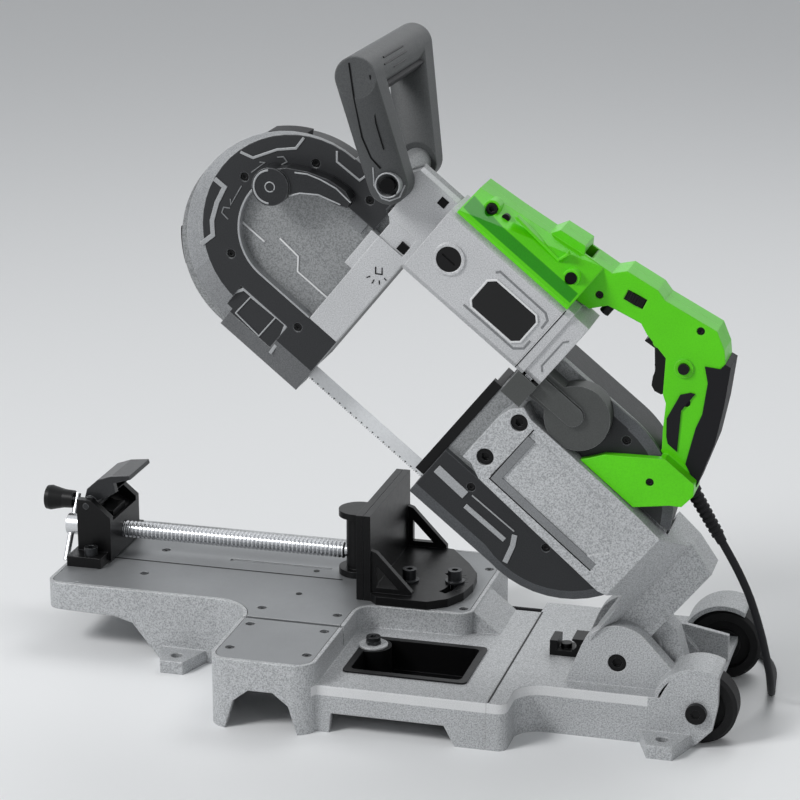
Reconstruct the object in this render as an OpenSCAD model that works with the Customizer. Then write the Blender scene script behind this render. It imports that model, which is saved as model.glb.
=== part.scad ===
// Portable metal band saw on a tilting bench stand, built as separate pieces.
// X runs along the vise screw, +X toward the transport wheels; Y runs away from
// the operator; Z is up and the floor is Z = 0. The saw head is drawn in its
// lowered pose around the tilt pivot, then raised by head_raise.

/* [Base] */
// Height of the work surface above the floor
bed_h = 64; // [60:1:70]
// Thickness of the steel plates let into the top of the bed
plate_t = 4; // [3:0.5:6]
// Wall thickness of the bed and rear castings
cast_wall = 6; // [4:0.5:8]
// Left end of the bed, measured from the tilt pivot
bed_left_x = -547; // [-570:1:-547]
// Front edge of the left part of the bed
bed_front_y = 52; // [50:1:58]
// Back edge of the bed
bed_back_y = 235; // [230:1:245]
// Left side of the front box that carries the cut end of the work
box_left_x = -343.5; // [-346:0.5:-340]
// Right side of the front box
box_right_x = -249; // [-252:0.5:-244]
// Front face of the front box
box_front_y = -80; // [-90:1:-70]
// Height of the low deck round the chip tray
deck_h = 43; // [40:1:44]
// Joint line between the bed casting and the rear casting
seam_x = -99; // [-103:1:-96]
// Diameter of the bench bolt holes in the two foot tabs
bench_hole_d = 11; // [9:0.5:13]
// Thickness of the foot tabs
tab_t = 12; // [8:1:16]

/* [Tilt pivot] */
// Height of the tilt pivot above the floor
pivot_h = 64; // [62:1:68]
// Diameter of the tilt pivot pin
pivot_d = 16; // [12:1:20]
// Thickness of each pivot ear
ear_t = 15; // [12:1:18]
// Clear width between the two pivot ears
ear_gap = 60; // [56:1:64]
// Radius of the rounded top of an ear
ear_r = 34; // [30:1:38]
// Angle of the raised head above the horizontal cut
head_raise = 39.15; // [30:0.05:45]

/* [Transport wheels] */
// Diameter of a transport wheel
tw_d = 66; // [56:1:67]
// Width of a transport wheel
tw_w = 24; // [18:1:28]
// Diameter of the transport wheel axle
tw_axle_d = 12; // [8:1:14]
// Distance of the transport axle behind the tilt pivot
tw_x = 72; // [70:0.5:75]

/* [Vise] */
// Diameter of the vise screw over its thread
screw_d = 16; // [14:1:18]
// Pitch of the vise screw thread
screw_pitch = 4; // [4:0.5:6]
// Height of the vise screw axis above the bed
screw_rise = 21; // [19:1:24]
// Distance of the vise screw axis behind the tilt pivot ear face
screw_y = 153; // [148:1:158]
// Length of each jaw plate
jaw_len = 138; // [120:1:140]
// Height of each jaw plate
jaw_h = 81; // [70:1:90]
// Thickness of each jaw plate
jaw_t = 6.5; // [5:0.5:8]
// Clamping face of the fixed jaw
jaw_face_x = -249.5; // [-252:0.5:-246]

/* [Blade and wheels] */
// Diameter of a blade wheel with its tyre
bw_d = 160; // [154:1:160]
// Width of a blade wheel
bw_w = 18; // [15:1:20]
// Thickness of the rubber tyre on a blade wheel
tyre_t = 3; // [2:0.5:4]
// Distance between the two blade wheel axes
bw_span = 319; // [317:0.5:320]
// Distance of the drive wheel axis in front of the tilt pivot
drive_u = -130; // [-131:0.5:-129]
// Height of the blade wheel axes above the tilt pivot, head lowered
bw_rise = 88; // [87:0.5:90]
// Blade width
blade_w = 12.7; // [10:0.1:13]
// Blade thickness
blade_t = 0.65; // [0.5:0.05:0.9]
// Distance of the blade plane behind the pivot ear face
blade_y = 18; // [17:0.5:19]

/* [Saw head] */
// Width of the throat side opening, from guard end to guard end
throat_l = 129; // [126:0.5:130]
// Running clearance between a blade wheel and its guard wall
guard_gap = 5; // [4:0.5:7]
// Wall thickness of the wheel guards
guard_t = 4; // [3:0.5:5]
// Front face of the frame web
web_y = -9; // [-10:0.5:-8]
// Thickness of the frame web
web_t = 8; // [7:0.5:9]
// Back edge of the wheel guards
guard_back_y = 40; // [38:1:44]
// Diameter of the motor armature
armature_d = 31; // [28:1:34]
// Diameter of the motor shaft
motor_shaft_d = 8; // [7:0.5:10]
// Distance of the motor axis in front of the ear face
motor_y = -17; // [-18:0.5:-16]
// Height of the motor axis above the tilt pivot, head lowered
motor_rise = 189; // [188:0.5:190]

/* [Handles] */
// Diameter of the bar of the top handle
bar_d = 34; // [30:1:38]
// Overall width of the top handle
bar_w = 176; // [160:1:190]
// Diameter of the bolts that hold the top handle
handle_bolt_d = 12; // [8:1:14]
// Thickness of the rear handle
grip_w = 36; // [32:1:40]

/* [Power cord] */
// Diameter of the power cord
cord_d = 7; // [6:0.5:9]
// Outer diameter of the strain relief at the handle
relief_d = 11; // [10:0.5:14]
// Mean diameter of the coiled length
coil_d = 78; // [70:1:84]

/* [Fits] */
// Radial clearance of a running fit
run_fit = 0.05; // [0.02:0.01:0.1]
// Gap between parts that pass each other
slip_gap = 0.4; // [0.3:0.05:0.8]

/* [Hidden] */
$fn = 64;

// Colours
cast_grey = "#b4b6b7";
plate_grey = "#a9abac";
dark_grey = "#3b3d40";
black = "#18181a";
steel = "#c6c9cc";
green = "#6fce2a";

// Base
plate_z = bed_h - plate_t;
bed_right_x = -147;
bed_right_front_y = 74;
deck_front_y = -66;
rear_side_y = -16;
ear_back_y = ear_t + ear_gap;
rear_back_y = ear_back_y + ear_t + 86;
plate_rim = 3.4;
plate_gap = 0.6;
slot_w = 5;
slot_z = bed_h - 19;
hole_gap = 0.02;
small_bolt_r = 4;
seam_bolt_ys = [-30, 60, 120];
seam_bolt_z = 26;
bed_screw_pts = [[-468, 161], [-466, 97], [-333, 43], [-262, 43], [-158, 192], [-157, 88], [-330, 218]];
box_screw_pts = [[-331, -53], [-331, 3], [-262, 3], [-261, -53]];
stop_x = -225;
stop_y = 30;
stop_boss_r = 13;
stop_boss_z = 46;
stop_top_z = bed_h - 11;
tray_x0 = -233;
tray_x1 = -128;
tray_y0 = -30;
tray_y1 = 48;
tray_floor_z = 14;
left_tab_x = -413;
right_tab_x = 46;
tab_reach = 32;
hook_x = -57;
hook_y = 63.8;
hook_w = 22;

// Transport wheels
tw_r = tw_d / 2;
tw_z = tw_r;
tw_front_y = -6;
tw_rear_y = rear_back_y - 11 - tw_w;
well_gap = 2;

// Vise
screw_z = bed_h + screw_rise;
jaw_front_y = screw_y - jaw_len / 2;
jaw_back_y = jaw_front_y + jaw_len;
jaw_base_t = 8;
jaw_pivot = [jaw_face_x + 32.5, 123];
jaw_clamp = [jaw_face_x + 73.5, 131];
jaw_bolts = [jaw_pivot, jaw_clamp];
arc_r = norm(jaw_clamp - jaw_pivot);
move_face_x = jaw_face_x - slip_gap;
post_x = move_face_x - jaw_t - 17;
screw_end_r = 6;
screw_tip_x = post_x + 3;
screw_neck_x = screw_tip_x - 16;
crank_x = -556;
crank_tilt = 33;
crank_up = 30;
crank_down = 36;
knob_arm = 24;
knob_len = 28;
nut_x0 = -539;
nut_x1 = -506;
nut_bolt_x = -522;
nut_bolt_ys = [screw_y - 48, screw_y + 48];
lever_pin_x = nut_x0 + 9;
lever_pin_z = bed_h + 54;

// Blade wheels, head lowered: u runs along the blade, w is the height above the pivot
bw_r = bw_d / 2;
idler_u = drive_u - bw_span;
bw_y0 = blade_y - bw_w / 2;
bw_y1 = blade_y + bw_w / 2;
seat_gap = 0.3;
blade_r = bw_r + seat_gap;
blade_bottom = bw_rise - blade_r - blade_t / 2;
guard_r = bw_r + guard_gap + guard_t;
guard_in_r = bw_r + guard_gap;
web_back_y = web_y + web_t;
front_end_u = idler_u + guard_r;
rear_end_u = front_end_u + throat_l;
end_wall_t = 3.5;
idler_travel = 4.5;
shaft_r = 8;

// Drive train
layshaft_y = -20;
layshaft_w = 153;
crown_u = -168;
crown_r = 25;
lay_pinion_r = 6;
lay_gear_r = 17;
lay_gear_u = -224;
gear_t = 7;
motor_pinion_r = norm([motor_y - layshaft_y, motor_rise - layshaft_w]) - lay_gear_r - slip_gap;
pinion_r = 12.3;
final_gear_r = norm([crown_u - drive_u, layshaft_w - bw_rise]) - pinion_r - slip_gap;
final_gear_y0 = 0.5;
final_gear_y1 = 6.5;

// Motor
motor_u0 = front_end_u + 2;
motor_u1 = -235.5;
cap_u1 = -210;
motor_w0 = 154.7;
motor_w1 = 223;
motor_front_y = -44;
motor_back_y = 10;
brush_u = -333;
stator_r = 24;
armature_r = armature_d / 2;
motor_shaft_r = motor_shaft_d / 2;

// Covers and arm
cover_face_y = -18;
rear_cover_face_y = -16;
cover_lap = 2.5;
hub_r = 30;
sleeve_r = 13.5;
arm_y0 = 15.4;
arm_y1 = 52;
arm_front_y = -30;
arm_bolts = [[-200.8, 116.9], [-202.8, 73.9]];
front_cover_screws = [[-469, 165], [-508, 114], [-476, 54], [-415, 172], [-393, 44]];
rear_cover_screws = [[-194, 39], [-113, 43], [-125, 163]];

// Handles
grip_mid_y = 8;
shell_y0 = grip_mid_y - grip_w / 2;
shell_y1 = grip_mid_y + grip_w / 2;
shell_t = 3;
ridge_w0 = 241.5;
ridge_rise = 0.154;
trigger_w = 16;
trigger_pivot = [-160, 243];
button_at = [-130.4, 241];
dial_at = [-197.6, 257.5];
dial_r = 14;
dial_t = 8;
dial_tilt = -13.7;
dial_y = shell_y0 - 2.5 + dial_r;
handle_mid_y = 10;
lug_at = [-410, 203];
bar_at = [-482, 263];
bar_r = bar_d / 2;
lug_y0 = handle_mid_y - 36;
lug_y1 = handle_mid_y + 36;
foot_t = 20;
lever_at = [-484, 130];
lever_y0 = -38;
lever_y1 = -20;

// Power cord, in world axes: the first point lies on the end of the strain relief
relief_a = [57, 15, 222];
relief_b = [84, 15, 177];
relief_turn = atan2(relief_b[0] - relief_a[0], relief_b[2] - relief_a[2]);
cord_r = cord_d / 2;
cord_route = [
  [84.2, 15, 176.7], [90, 15, 167], [96, 16, 156], [102, 20, 142], [108, 27, 124], [113, 36, 103],
  [117, 47, 81], [120, 58, 59], [122, 70, 39], [122, 83, 22], [121, 98, 10], [119, 116, 4],
  [117, 136, 4], [115, 156, 4], [110, 176, 4], [100, 195, 4], [84, 211, 4], [64, 223, 4],
  [40, 232, 4], [14, 239, 4], [-14, 243, 4], [-44, 246, 4], [-76, 246, 4], [-110, 246, 4],
  [-144, 246, 4], [-178, 246, 4], [-204, 246, 4], [-226, 246, 4]
];
coil_x = -240;
coil_y = 246 + coil_d / 2;
coil_turns = 10;
coil_layers = 4;
coil_step = cord_d + 0.7;
coil_rings = 24;
coil_z = 4;
plug_x = -308;
plug_z = 14;
plug_r = 13;

// A solid between two Y planes from an outline drawn in X and Z
module slab(y0, y1) {
  translate([0, y1, 0]) rotate([90, 0, 0]) linear_extrude(y1 - y0) children();
}
// A solid between two X planes from an outline drawn in Y and Z
module bar_x(x0, x1) {
  translate([x0, 0, 0]) rotate([90, 0, 90]) linear_extrude(x1 - x0) children();
}
module rod_y(x, z, r, y0, y1) {
  translate([x, y1, z]) rotate([90, 0, 0]) cylinder(h = y1 - y0, r = r);
}
module rod_x(y, z, r, x0, x1) {
  translate([x0, y, z]) rotate([0, 90, 0]) cylinder(h = x1 - x0, r = r);
}
module rod_z(x, y, r, z0, z1) {
  translate([x, y, z0]) cylinder(h = z1 - z0, r = r);
}
module box(a, b) {
  translate(a) cube(b - a);
}
module rrect(x0, y0, x1, y1, r) {
  translate([x0 + r, y0]) square([x1 - x0 - 2 * r, y1 - y0]);
  translate([x0, y0 + r]) square([x1 - x0, y1 - y0 - 2 * r]);
  for (x = [x0 + r, x1 - r], y = [y0 + r, y1 - r]) translate([x, y]) circle(r = r);
}
// Part of a ring round an axis along Y
module sector_y(x, z, r0, r1, y0, y1, a0, a1) {
  translate([x, 0, z]) rotate([90, 0, 0]) rotate([0, 0, a0]) rotate_extrude(angle = a1 - a0)
    translate([r0, -y1]) square([r1 - r0, y1 - y0]);
}
// A ring or shaft turned round an axis along Y from a profile of radius and depth
module turned_y(x, y, z) {
  translate([x, y, z]) rotate([-90, 0, 0]) rotate_extrude() children();
}
// Raises a piece of the saw head from its lowered pose
module head() {
  translate([0, 0, pivot_h]) rotate([0, head_raise, 0]) children();
}

// Bed and base

// Outline of the bed seen from above, drawn in by an inset
module bed_outline(i) {
  rrect(bed_left_x + i, bed_front_y + i, box_right_x - 14, bed_back_y - i, 14 - i);
  rrect(box_left_x + 4, bed_right_front_y + i, bed_right_x - i, bed_back_y - i, 14 - i);
  rrect(box_left_x + i, box_front_y + i, box_right_x - i, 130, 18 - i);
  difference() {
    translate([box_left_x - 36, bed_front_y - 36]) square(36 + i);
    translate([box_left_x - 36, bed_front_y - 36]) circle(r = 36 + i);
  }
  difference() {
    translate([box_right_x - i, bed_right_front_y - 18]) square(18 + i);
    translate([box_right_x + 18, bed_right_front_y - 18]) circle(r = 18 + i);
  }
}
module tray_outline(i) {
  difference() {
    rrect(tray_x0 + i, tray_y0 + i, tray_x1 - i, tray_y1 - i, 5);
    translate([stop_x, stop_y]) circle(r = stop_boss_r + slip_gap + max(i, 0));
  }
}
module foot_tab(x, y, reach) {
  difference() {
    linear_extrude(tab_t) polygon([[x - 22, y + 8], [x + 22, y + 8], [x + 22, y],
      [x + 11, y - reach], [x - 11, y - reach], [x - 22, y]]);
    rod_z(x, y - reach + 15, bench_hole_d / 2, -1, tab_t + 1);
  }
}
module bed_casting() {
  inner_z = plate_z - cast_wall;
  deck_inner_z = deck_h - cast_wall;
  color(cast_grey) {
    difference() {
      union() {
        linear_extrude(bed_h) bed_outline(0);
        translate([box_right_x - 20, deck_front_y, 0])
          cube([seam_x - box_right_x + 20, rear_back_y - 26 - deck_front_y, deck_h]);
        rod_z(stop_x, stop_y, stop_boss_r, deck_inner_z - 10, stop_boss_z);
        // sloping side between the work surface and the low deck
        slab(bed_right_front_y + 12, rear_back_y - 26) polygon([[bed_right_x - 5, deck_h - 1],
          [bed_right_x - 5, bed_h - 1], [bed_right_x, bed_h - 1], [bed_right_x + 26, deck_h - 1]]);
      }
      // hollow underside
      translate([0, 0, -1]) linear_extrude(inner_z + 1) bed_outline(cast_wall);
      difference() {
        box([box_right_x + 0.01, deck_front_y + cast_wall, -1],
          [seam_x - cast_wall, bed_right_front_y, deck_inner_z]);
        rod_z(stop_x, stop_y, stop_boss_r, deck_inner_z - 10, deck_h);
        box([tray_x0 - 4, tray_y0 - 4, 8], [tray_x1 + 4, tray_y1 + 4, deck_h]);
      }
      box([bed_right_x + 0.01, bed_right_front_y - 1, -1],
        [seam_x - cast_wall, rear_back_y - 26 - cast_wall, deck_inner_z]);
      // recess for the steel plates, slot for the blade and opening for the chip tray
      translate([0, 0, plate_z]) linear_extrude(plate_t + 1) bed_outline(plate_rim);
      box([box_left_x - 8, blade_y - slot_w / 2, slot_z], [box_right_x + 8, blade_y + slot_w / 2, bed_h + 1]);
      translate([0, 0, -1]) linear_extrude(deck_h + 2) tray_outline(0);
      // arches under the left end, the middle, the box and the deck
      slab(box_front_y - 60, bed_back_y + 20)
        polygon([[-600, -1], [-600, 40], [-480, 37], [-462, 32], [-438, 2], [-436, -1]]);
      slab(bed_front_y + 20, bed_back_y + 20)
        polygon([[-400, -1], [-385, 22], [-190, 22], [-170, -1]]);
      slab(box_front_y - 1, box_front_y + 30)
        polygon([[-328, -1], [-320, 26], [-306, 37], [-284, 37], [-270, 26], [-262, -1]]);
      slab(deck_front_y - 1, deck_front_y + 30)
        polygon([[-238, -1], [-236, 18], [-136, 18], [-126, -1]]);
      // bolt holes
      rod_z(stop_x, stop_y, small_bolt_r + hole_gap, deck_inner_z - 11, stop_boss_z + 1);
      for (p = concat(bed_screw_pts, box_screw_pts)) rod_z(p[0], p[1], 2 + hole_gap, plate_z - 5, plate_z + 1);
      for (y = seam_bolt_ys) rod_x(y, seam_bolt_z, small_bolt_r + hole_gap, seam_x - cast_wall - 1, seam_x + 1);
      for (y = nut_bolt_ys) rod_z(nut_bolt_x, y, small_bolt_r + hole_gap, inner_z - 1, plate_z + 1);
      for (p = jaw_bolts) rod_z(p[0], p[1], small_bolt_r + hole_gap, inner_z - 1, plate_z + 1);
    }
    foot_tab(left_tab_x, bed_front_y, tab_reach);
  }
}
// Plate area in front of or behind the blade slot
module plate_outline(y0, y1) {
  intersection() {
    bed_outline(plate_rim + plate_gap);
    translate([box_left_x - 1, y0]) square([box_right_x - box_left_x + 2, y1 - y0]);
  }
}
module plate_screw_holes(pts) {
  for (p = pts) rod_z(p[0], p[1], 2.1, plate_z - 1, bed_h + 1);
  for (p = pts) rod_z(p[0], p[1], 4.3, bed_h - 2, bed_h + 1);
}
module bed_plate() {
  color(plate_grey) difference() {
    translate([0, 0, plate_z]) linear_extrude(plate_t) difference() {
      bed_outline(plate_rim + plate_gap);
      translate([box_left_x - 1, box_front_y - 1])
        square([box_right_x - box_left_x + 2, blade_y + slot_w / 2 - box_front_y + 1]);
    }
    plate_screw_holes(bed_screw_pts);
    for (p = jaw_bolts) rod_z(p[0], p[1], 4.1, plate_z - 1, bed_h + 1);
    for (y = nut_bolt_ys) rod_z(nut_bolt_x, y, 4.1, plate_z - 1, bed_h + 1);
    // slot along the vise screw
    box([-400, screw_y - 3, bed_h - 1.5], [-300, screw_y + 3, bed_h + 1]);
  }
}
module box_plate() {
  color(plate_grey) difference() {
    translate([0, 0, plate_z]) linear_extrude(plate_t)
      plate_outline(box_front_y - 1, blade_y - slot_w / 2);
    plate_screw_holes(box_screw_pts);
  }
}
// Socket head screw standing on z, its shank going down
module cap_screw(x, y, z, r, head_h, shank) {
  difference() {
    union() {
      rod_z(x, y, r, z - shank, z + 0.5);
      rod_z(x, y, r * 1.6, z, z + head_h);
    }
    translate([x, y, z + head_h * 0.45]) cylinder(h = head_h, r = r * 0.85, $fn = 6);
  }
}
module base_screws() {
  jaw_top = bed_h + jaw_base_t;
  color("#2b2b2d") {
    for (p = concat(bed_screw_pts, box_screw_pts)) difference() {
      union() {
        rod_z(p[0], p[1], 2, plate_z - 5, bed_h - 1.5);
        rod_z(p[0], p[1], 4, bed_h - 2, bed_h - 0.6);
      }
      translate([p[0], p[1], bed_h - 1.4]) cylinder(h = 2, r = 1.8, $fn = 6);
    }
    // height stop of the head with its lock nut
    cap_screw(stop_x, stop_y, stop_boss_z + 3, small_bolt_r, stop_top_z - stop_boss_z - 3, 18);
    translate([stop_x, stop_y, stop_boss_z]) difference() {
      cylinder(h = 3, r = 7, $fn = 6);
      translate([0, 0, -1]) cylinder(h = 5, r = small_bolt_r + hole_gap);
    }
    for (y = nut_bolt_ys) cap_screw(nut_bolt_x, y, bed_h + 10, small_bolt_r, 8, 18);
    for (p = jaw_bolts) {
      rod_z(p[0], p[1], 9, jaw_top, jaw_top + 2);
      cap_screw(p[0], p[1], jaw_top + 2, small_bolt_r, 10, 18);
    }
    for (y = seam_bolt_ys) {
      rod_x(y, seam_bolt_z, small_bolt_r, seam_x - cast_wall - 3, seam_x + cast_wall + 1);
      rod_x(y, seam_bolt_z, 6.5, seam_x + cast_wall, seam_x + cast_wall + 4.5);
    }
  }
}

// Rear casting with the pivot ears and the transport wheels

module ear_outline() {
  translate([0, pivot_h]) circle(r = ear_r);
  polygon([[-46, deck_h - 3], [-31, pivot_h + 14], [-20, pivot_h + 27], [24, pivot_h + 24],
    [58, pivot_h - 12], [58, deck_h - 3]]);
}
module rear_side_outline() {
  polygon([[seam_x, deck_h], [40, deck_h], [44, deck_h + 8], [tw_x - 22, 62], [tw_x - 12, 69],
    [tw_x, 72], [tw_x + 12, 70], [tw_x + 18, 64], [tw_x + 18, 40], [tw_x + 14, 18], [tw_x, 3],
    [tw_x - 6, 0], [24, 0], [16, 13], [2, 19], [-58, 19], [-74, 10], [-84, 0], [seam_x, 0]]);
}
module fender(y0, y1) {
  slab(y0, y1) intersection() {
    difference() {
      translate([tw_x, tw_z]) circle(r = tw_r + well_gap + 4);
      translate([tw_x, tw_z]) circle(r = tw_r + well_gap);
    }
    translate([36, deck_h - 6]) square([tw_x - 18, 60]);
  }
}
module rear_casting() {
  side_t = 7;
  color(cast_grey) {
    difference() {
      union() {
        linear_extrude(deck_h) {
          translate([seam_x, deck_front_y]) square([8, rear_back_y - 26 - deck_front_y]);
          rrect(seam_x, deck_front_y, seam_x + 17, 0, 8);
          translate([seam_x, rear_side_y]) square([44 - seam_x, rear_back_y - rear_side_y]);
          difference() {
            translate([seam_x + 16, rear_side_y - 24]) square([24, 25]);
            translate([seam_x + 40, rear_side_y - 24]) circle(r = 24);
          }
        }
        for (y = [rear_side_y, rear_back_y - side_t]) slab(y, y + side_t) rear_side_outline();
        for (y = [0, ear_back_y]) slab(y, y + ear_t) ear_outline();
        fender(rear_side_y, tw_front_y + tw_w + 6);
        fender(tw_rear_y - 6, rear_back_y);
        // lug that the swing arm leans on when the head is up
        slab(ear_t + 9, ear_t + 29) polygon([[28.1, 86.1], [37.5, 97.7], [47, 90.1], [56, 60],
          [56, 38], [37, 38], [37, 64], [35, 76]]);
        box([36, ear_t + 9, 0], [50, ear_t + 29, deck_h]);
        // rib from the rear ear to the rear fender and shelf between the wheels
        slab(ear_back_y + 4, ear_back_y + 9)
          polygon([[40, deck_h - 2], [28, 74], [46, 74], [84, deck_h + 24], [84, deck_h - 6]]);
        box([40, tw_front_y + tw_w + 2, deck_h - 6], [tw_x + 12, tw_rear_y - 2, deck_h]);
      }
      // hollow underside
      box([seam_x + cast_wall, rear_side_y + side_t, -1], [30, rear_back_y - side_t, deck_h - cast_wall]);
      box([seam_x + cast_wall, deck_front_y + cast_wall, -1], [seam_x + 11, 0, deck_h - cast_wall]);
      // wells for the transport wheels
      for (y = [tw_front_y, tw_rear_y]) {
        rod_y(tw_x, tw_z, tw_r + well_gap, y - well_gap, y + tw_w + well_gap);
        box([tw_x - tw_r - well_gap, y - well_gap, -1], [tw_x + 60, y + tw_w + well_gap, tw_z]);
      }
      rod_y(0, pivot_h, hub_r + 4, ear_t, ear_back_y);
      rod_y(0, pivot_h, pivot_d / 2 + run_fit, -1, ear_back_y + ear_t + 1);
      rod_y(tw_x, tw_z, tw_axle_d / 2 + run_fit, rear_side_y - 1, rear_back_y + 1);
      for (y = seam_bolt_ys) rod_x(y, seam_bolt_z, small_bolt_r + hole_gap, seam_x - 1, seam_x + 12);
      rod_z(hook_x, hook_y, 3 + hole_gap, deck_h - cast_wall - 1, deck_h + 1);
    }
    foot_tab(right_tab_x, rear_side_y, tab_reach - 2);
    // post that carries the front ear down to the floor
    rod_z(0, 0, 10, 0, deck_h - cast_wall + 1);
  }
}
module chip_tray() {
  color(black) difference() {
    union() {
      translate([0, 0, tray_floor_z]) linear_extrude(deck_h - tray_floor_z + 1) tray_outline(slip_gap);
      translate([0, 0, deck_h + hole_gap]) linear_extrude(1.6) tray_outline(-3);
    }
    translate([0, 0, tray_floor_z + 2.5]) linear_extrude(deck_h) tray_outline(slip_gap + 2.5);
  }
}
module lock_hook() {
  color(black) {
    difference() {
      union() {
        box([hook_x - 13, hook_y - hook_w / 2, deck_h], [hook_x + 19, hook_y + hook_w / 2, deck_h + 5]);
        box([hook_x + 7, hook_y - hook_w / 2, deck_h], [hook_x + 19, hook_y + hook_w / 2, deck_h + 17]);
        box([hook_x - 13, hook_y - hook_w / 2, deck_h], [hook_x - 6, hook_y + hook_w / 2, deck_h + 14]);
      }
      slab(hook_y - 13, hook_y + 13) translate([hook_x + 7, deck_h + 11]) circle(r = 4);
    }
    rod_z(hook_x, hook_y, 3, deck_h - cast_wall, deck_h + 5);
    rod_z(hook_x, hook_y, 5, deck_h + 4, deck_h + 9);
  }
}
module pivot_pin() {
  color("#3a3b3d") difference() {
    union() {
      rod_y(0, pivot_h, pivot_d / 2, 1, ear_back_y + ear_t + 4);
      rod_y(0, pivot_h, pivot_d / 2 + 4, ear_back_y + ear_t, ear_back_y + ear_t + 3);
    }
    translate([0, 4, pivot_h]) rotate([90, 0, 0]) cylinder(h = 6, r = 4.6, $fn = 6);
  }
}

// A tube along points, its rings carried without twist
function unit(v) = v / norm(v);
function tangent(p, i) = unit(p[min(i + 1, len(p) - 1)] - p[max(i - 1, 0)]);
function frames(p, i = 0, acc = []) = i == len(p) ? acc :
  let (
    t = tangent(p, i),
    seed = i == 0 ? cross(t, abs(t[2]) < 0.9 ? [0, 0, 1] : [1, 0, 0]) : acc[i - 1]
  )
  frames(p, i + 1, concat(acc, [unit(seed - (seed * t) * t)]));
module tube(p, r, n) {
  f = frames(p);
  m = len(p);
  verts = [for (i = [0:m - 1]) let (t = tangent(p, i), b = cross(t, f[i]))
    for (k = [0:n - 1]) p[i] + r * (cos(360 * k / n) * f[i] + sin(360 * k / n) * b)];
  sides = [for (i = [0:m - 2]) for (k = [0:n - 1]) let (j = (k + 1) % n)
    each [[i * n + k, (i + 1) * n + k, (i + 1) * n + j], [i * n + k, (i + 1) * n + j, i * n + j]]];
  caps = concat([for (k = [1:n - 2]) [0, k, k + 1]],
    [for (k = [1:n - 2]) [(m - 1) * n, (m - 1) * n + k + 1, (m - 1) * n + k]]);
  polyhedron(points = verts, faces = concat(sides, caps), convexity = 10);
}
// Smooth curve through points, n steps a span
function spline(p, n) = concat([for (i = [0:len(p) - 2]) let (
    a = p[max(i - 1, 0)], b = p[i], c = p[i + 1], d = p[min(i + 2, len(p) - 1)])
  for (k = [0:n - 1]) let (t = k / n)
    0.5 * (2 * b + (c - a) * t + (2 * a - 5 * b + 4 * c - d) * t * t
      + (3 * b - a - 3 * c + d) * t * t * t)], [p[len(p) - 1]]);
function path_length(p) = [for (i = 0, s = 0; i < len(p); s = s + (i + 1 < len(p) ? norm(p[i + 1] - p[i]) : 0),
  i = i + 1) s][len(p) - 1];
// Least distance between centre lines of points more than skip steps apart
function least_gap(p, skip, d) =
  min([for (i = [0:len(p) - 1]) for (j = [i + skip:1:len(p) - 1]) norm(p[i] - p[j])]) - d;

spring_r = 18;
spring_wire = 4;
spring_turns = 3.5;
spring_pitch = 4.5;
spring_y0 = arm_y1 + 3.7;
spring_y1 = spring_y0 + spring_pitch * spring_turns;
spring_pts = concat(
  [[29.4, spring_y1, deck_h + 2.1], [14, spring_y1, pivot_h - spring_r]],
  [for (k = [0:8 * spring_turns]) let (a = -90 - 45 * k)
    [spring_r * cos(a), spring_y1 - spring_pitch * k / 8, pivot_h + spring_r * sin(a)]],
  [[12, spring_y0, pivot_h + spring_r], [24, spring_y0, pivot_h + spring_r]]);
module return_spring() {
  echo(spring_gap = least_gap(spring_pts, 5, spring_wire));
  color("#8d9093") tube(spring_pts, spring_wire / 2, 6);
}
module wheel_axle() {
  color("#8e9194") {
    difference() {
      union() {
        rod_y(tw_x, tw_z, tw_axle_d / 2, rear_side_y - 2, rear_back_y + 2);
        rod_y(tw_x, tw_z, tw_axle_d / 2 + 3, rear_side_y - 5, rear_side_y);
      }
      translate([tw_x, rear_side_y - 3, tw_z]) rotate([90, 0, 0]) cylinder(h = 5, r = 4.5, $fn = 6);
    }
    translate([tw_x, rear_back_y + 6, tw_z]) rotate([90, 0, 0]) cylinder(h = 6, r = 10, $fn = 6);
  }
}
module transport_wheel(y) {
  half = tw_w / 2;
  color(black) turned_y(tw_x, y + half, tw_z) difference() {
    translate([tw_axle_d / 2 + run_fit, -half]) square([tw_r - tw_axle_d / 2 - run_fit, tw_w]);
    for (s = [0, 1]) mirror([0, s]) {
      translate([14, half - 5]) square([9, 6]);
      polygon([[tw_r - 3, half + 0.1], [tw_r + 0.1, half + 0.1], [tw_r + 0.1, half - 3]]);
    }
  }
}
module front_transport_wheel() { transport_wheel(tw_front_y); }
module rear_transport_wheel() { transport_wheel(tw_rear_y); }

// Vise

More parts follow.
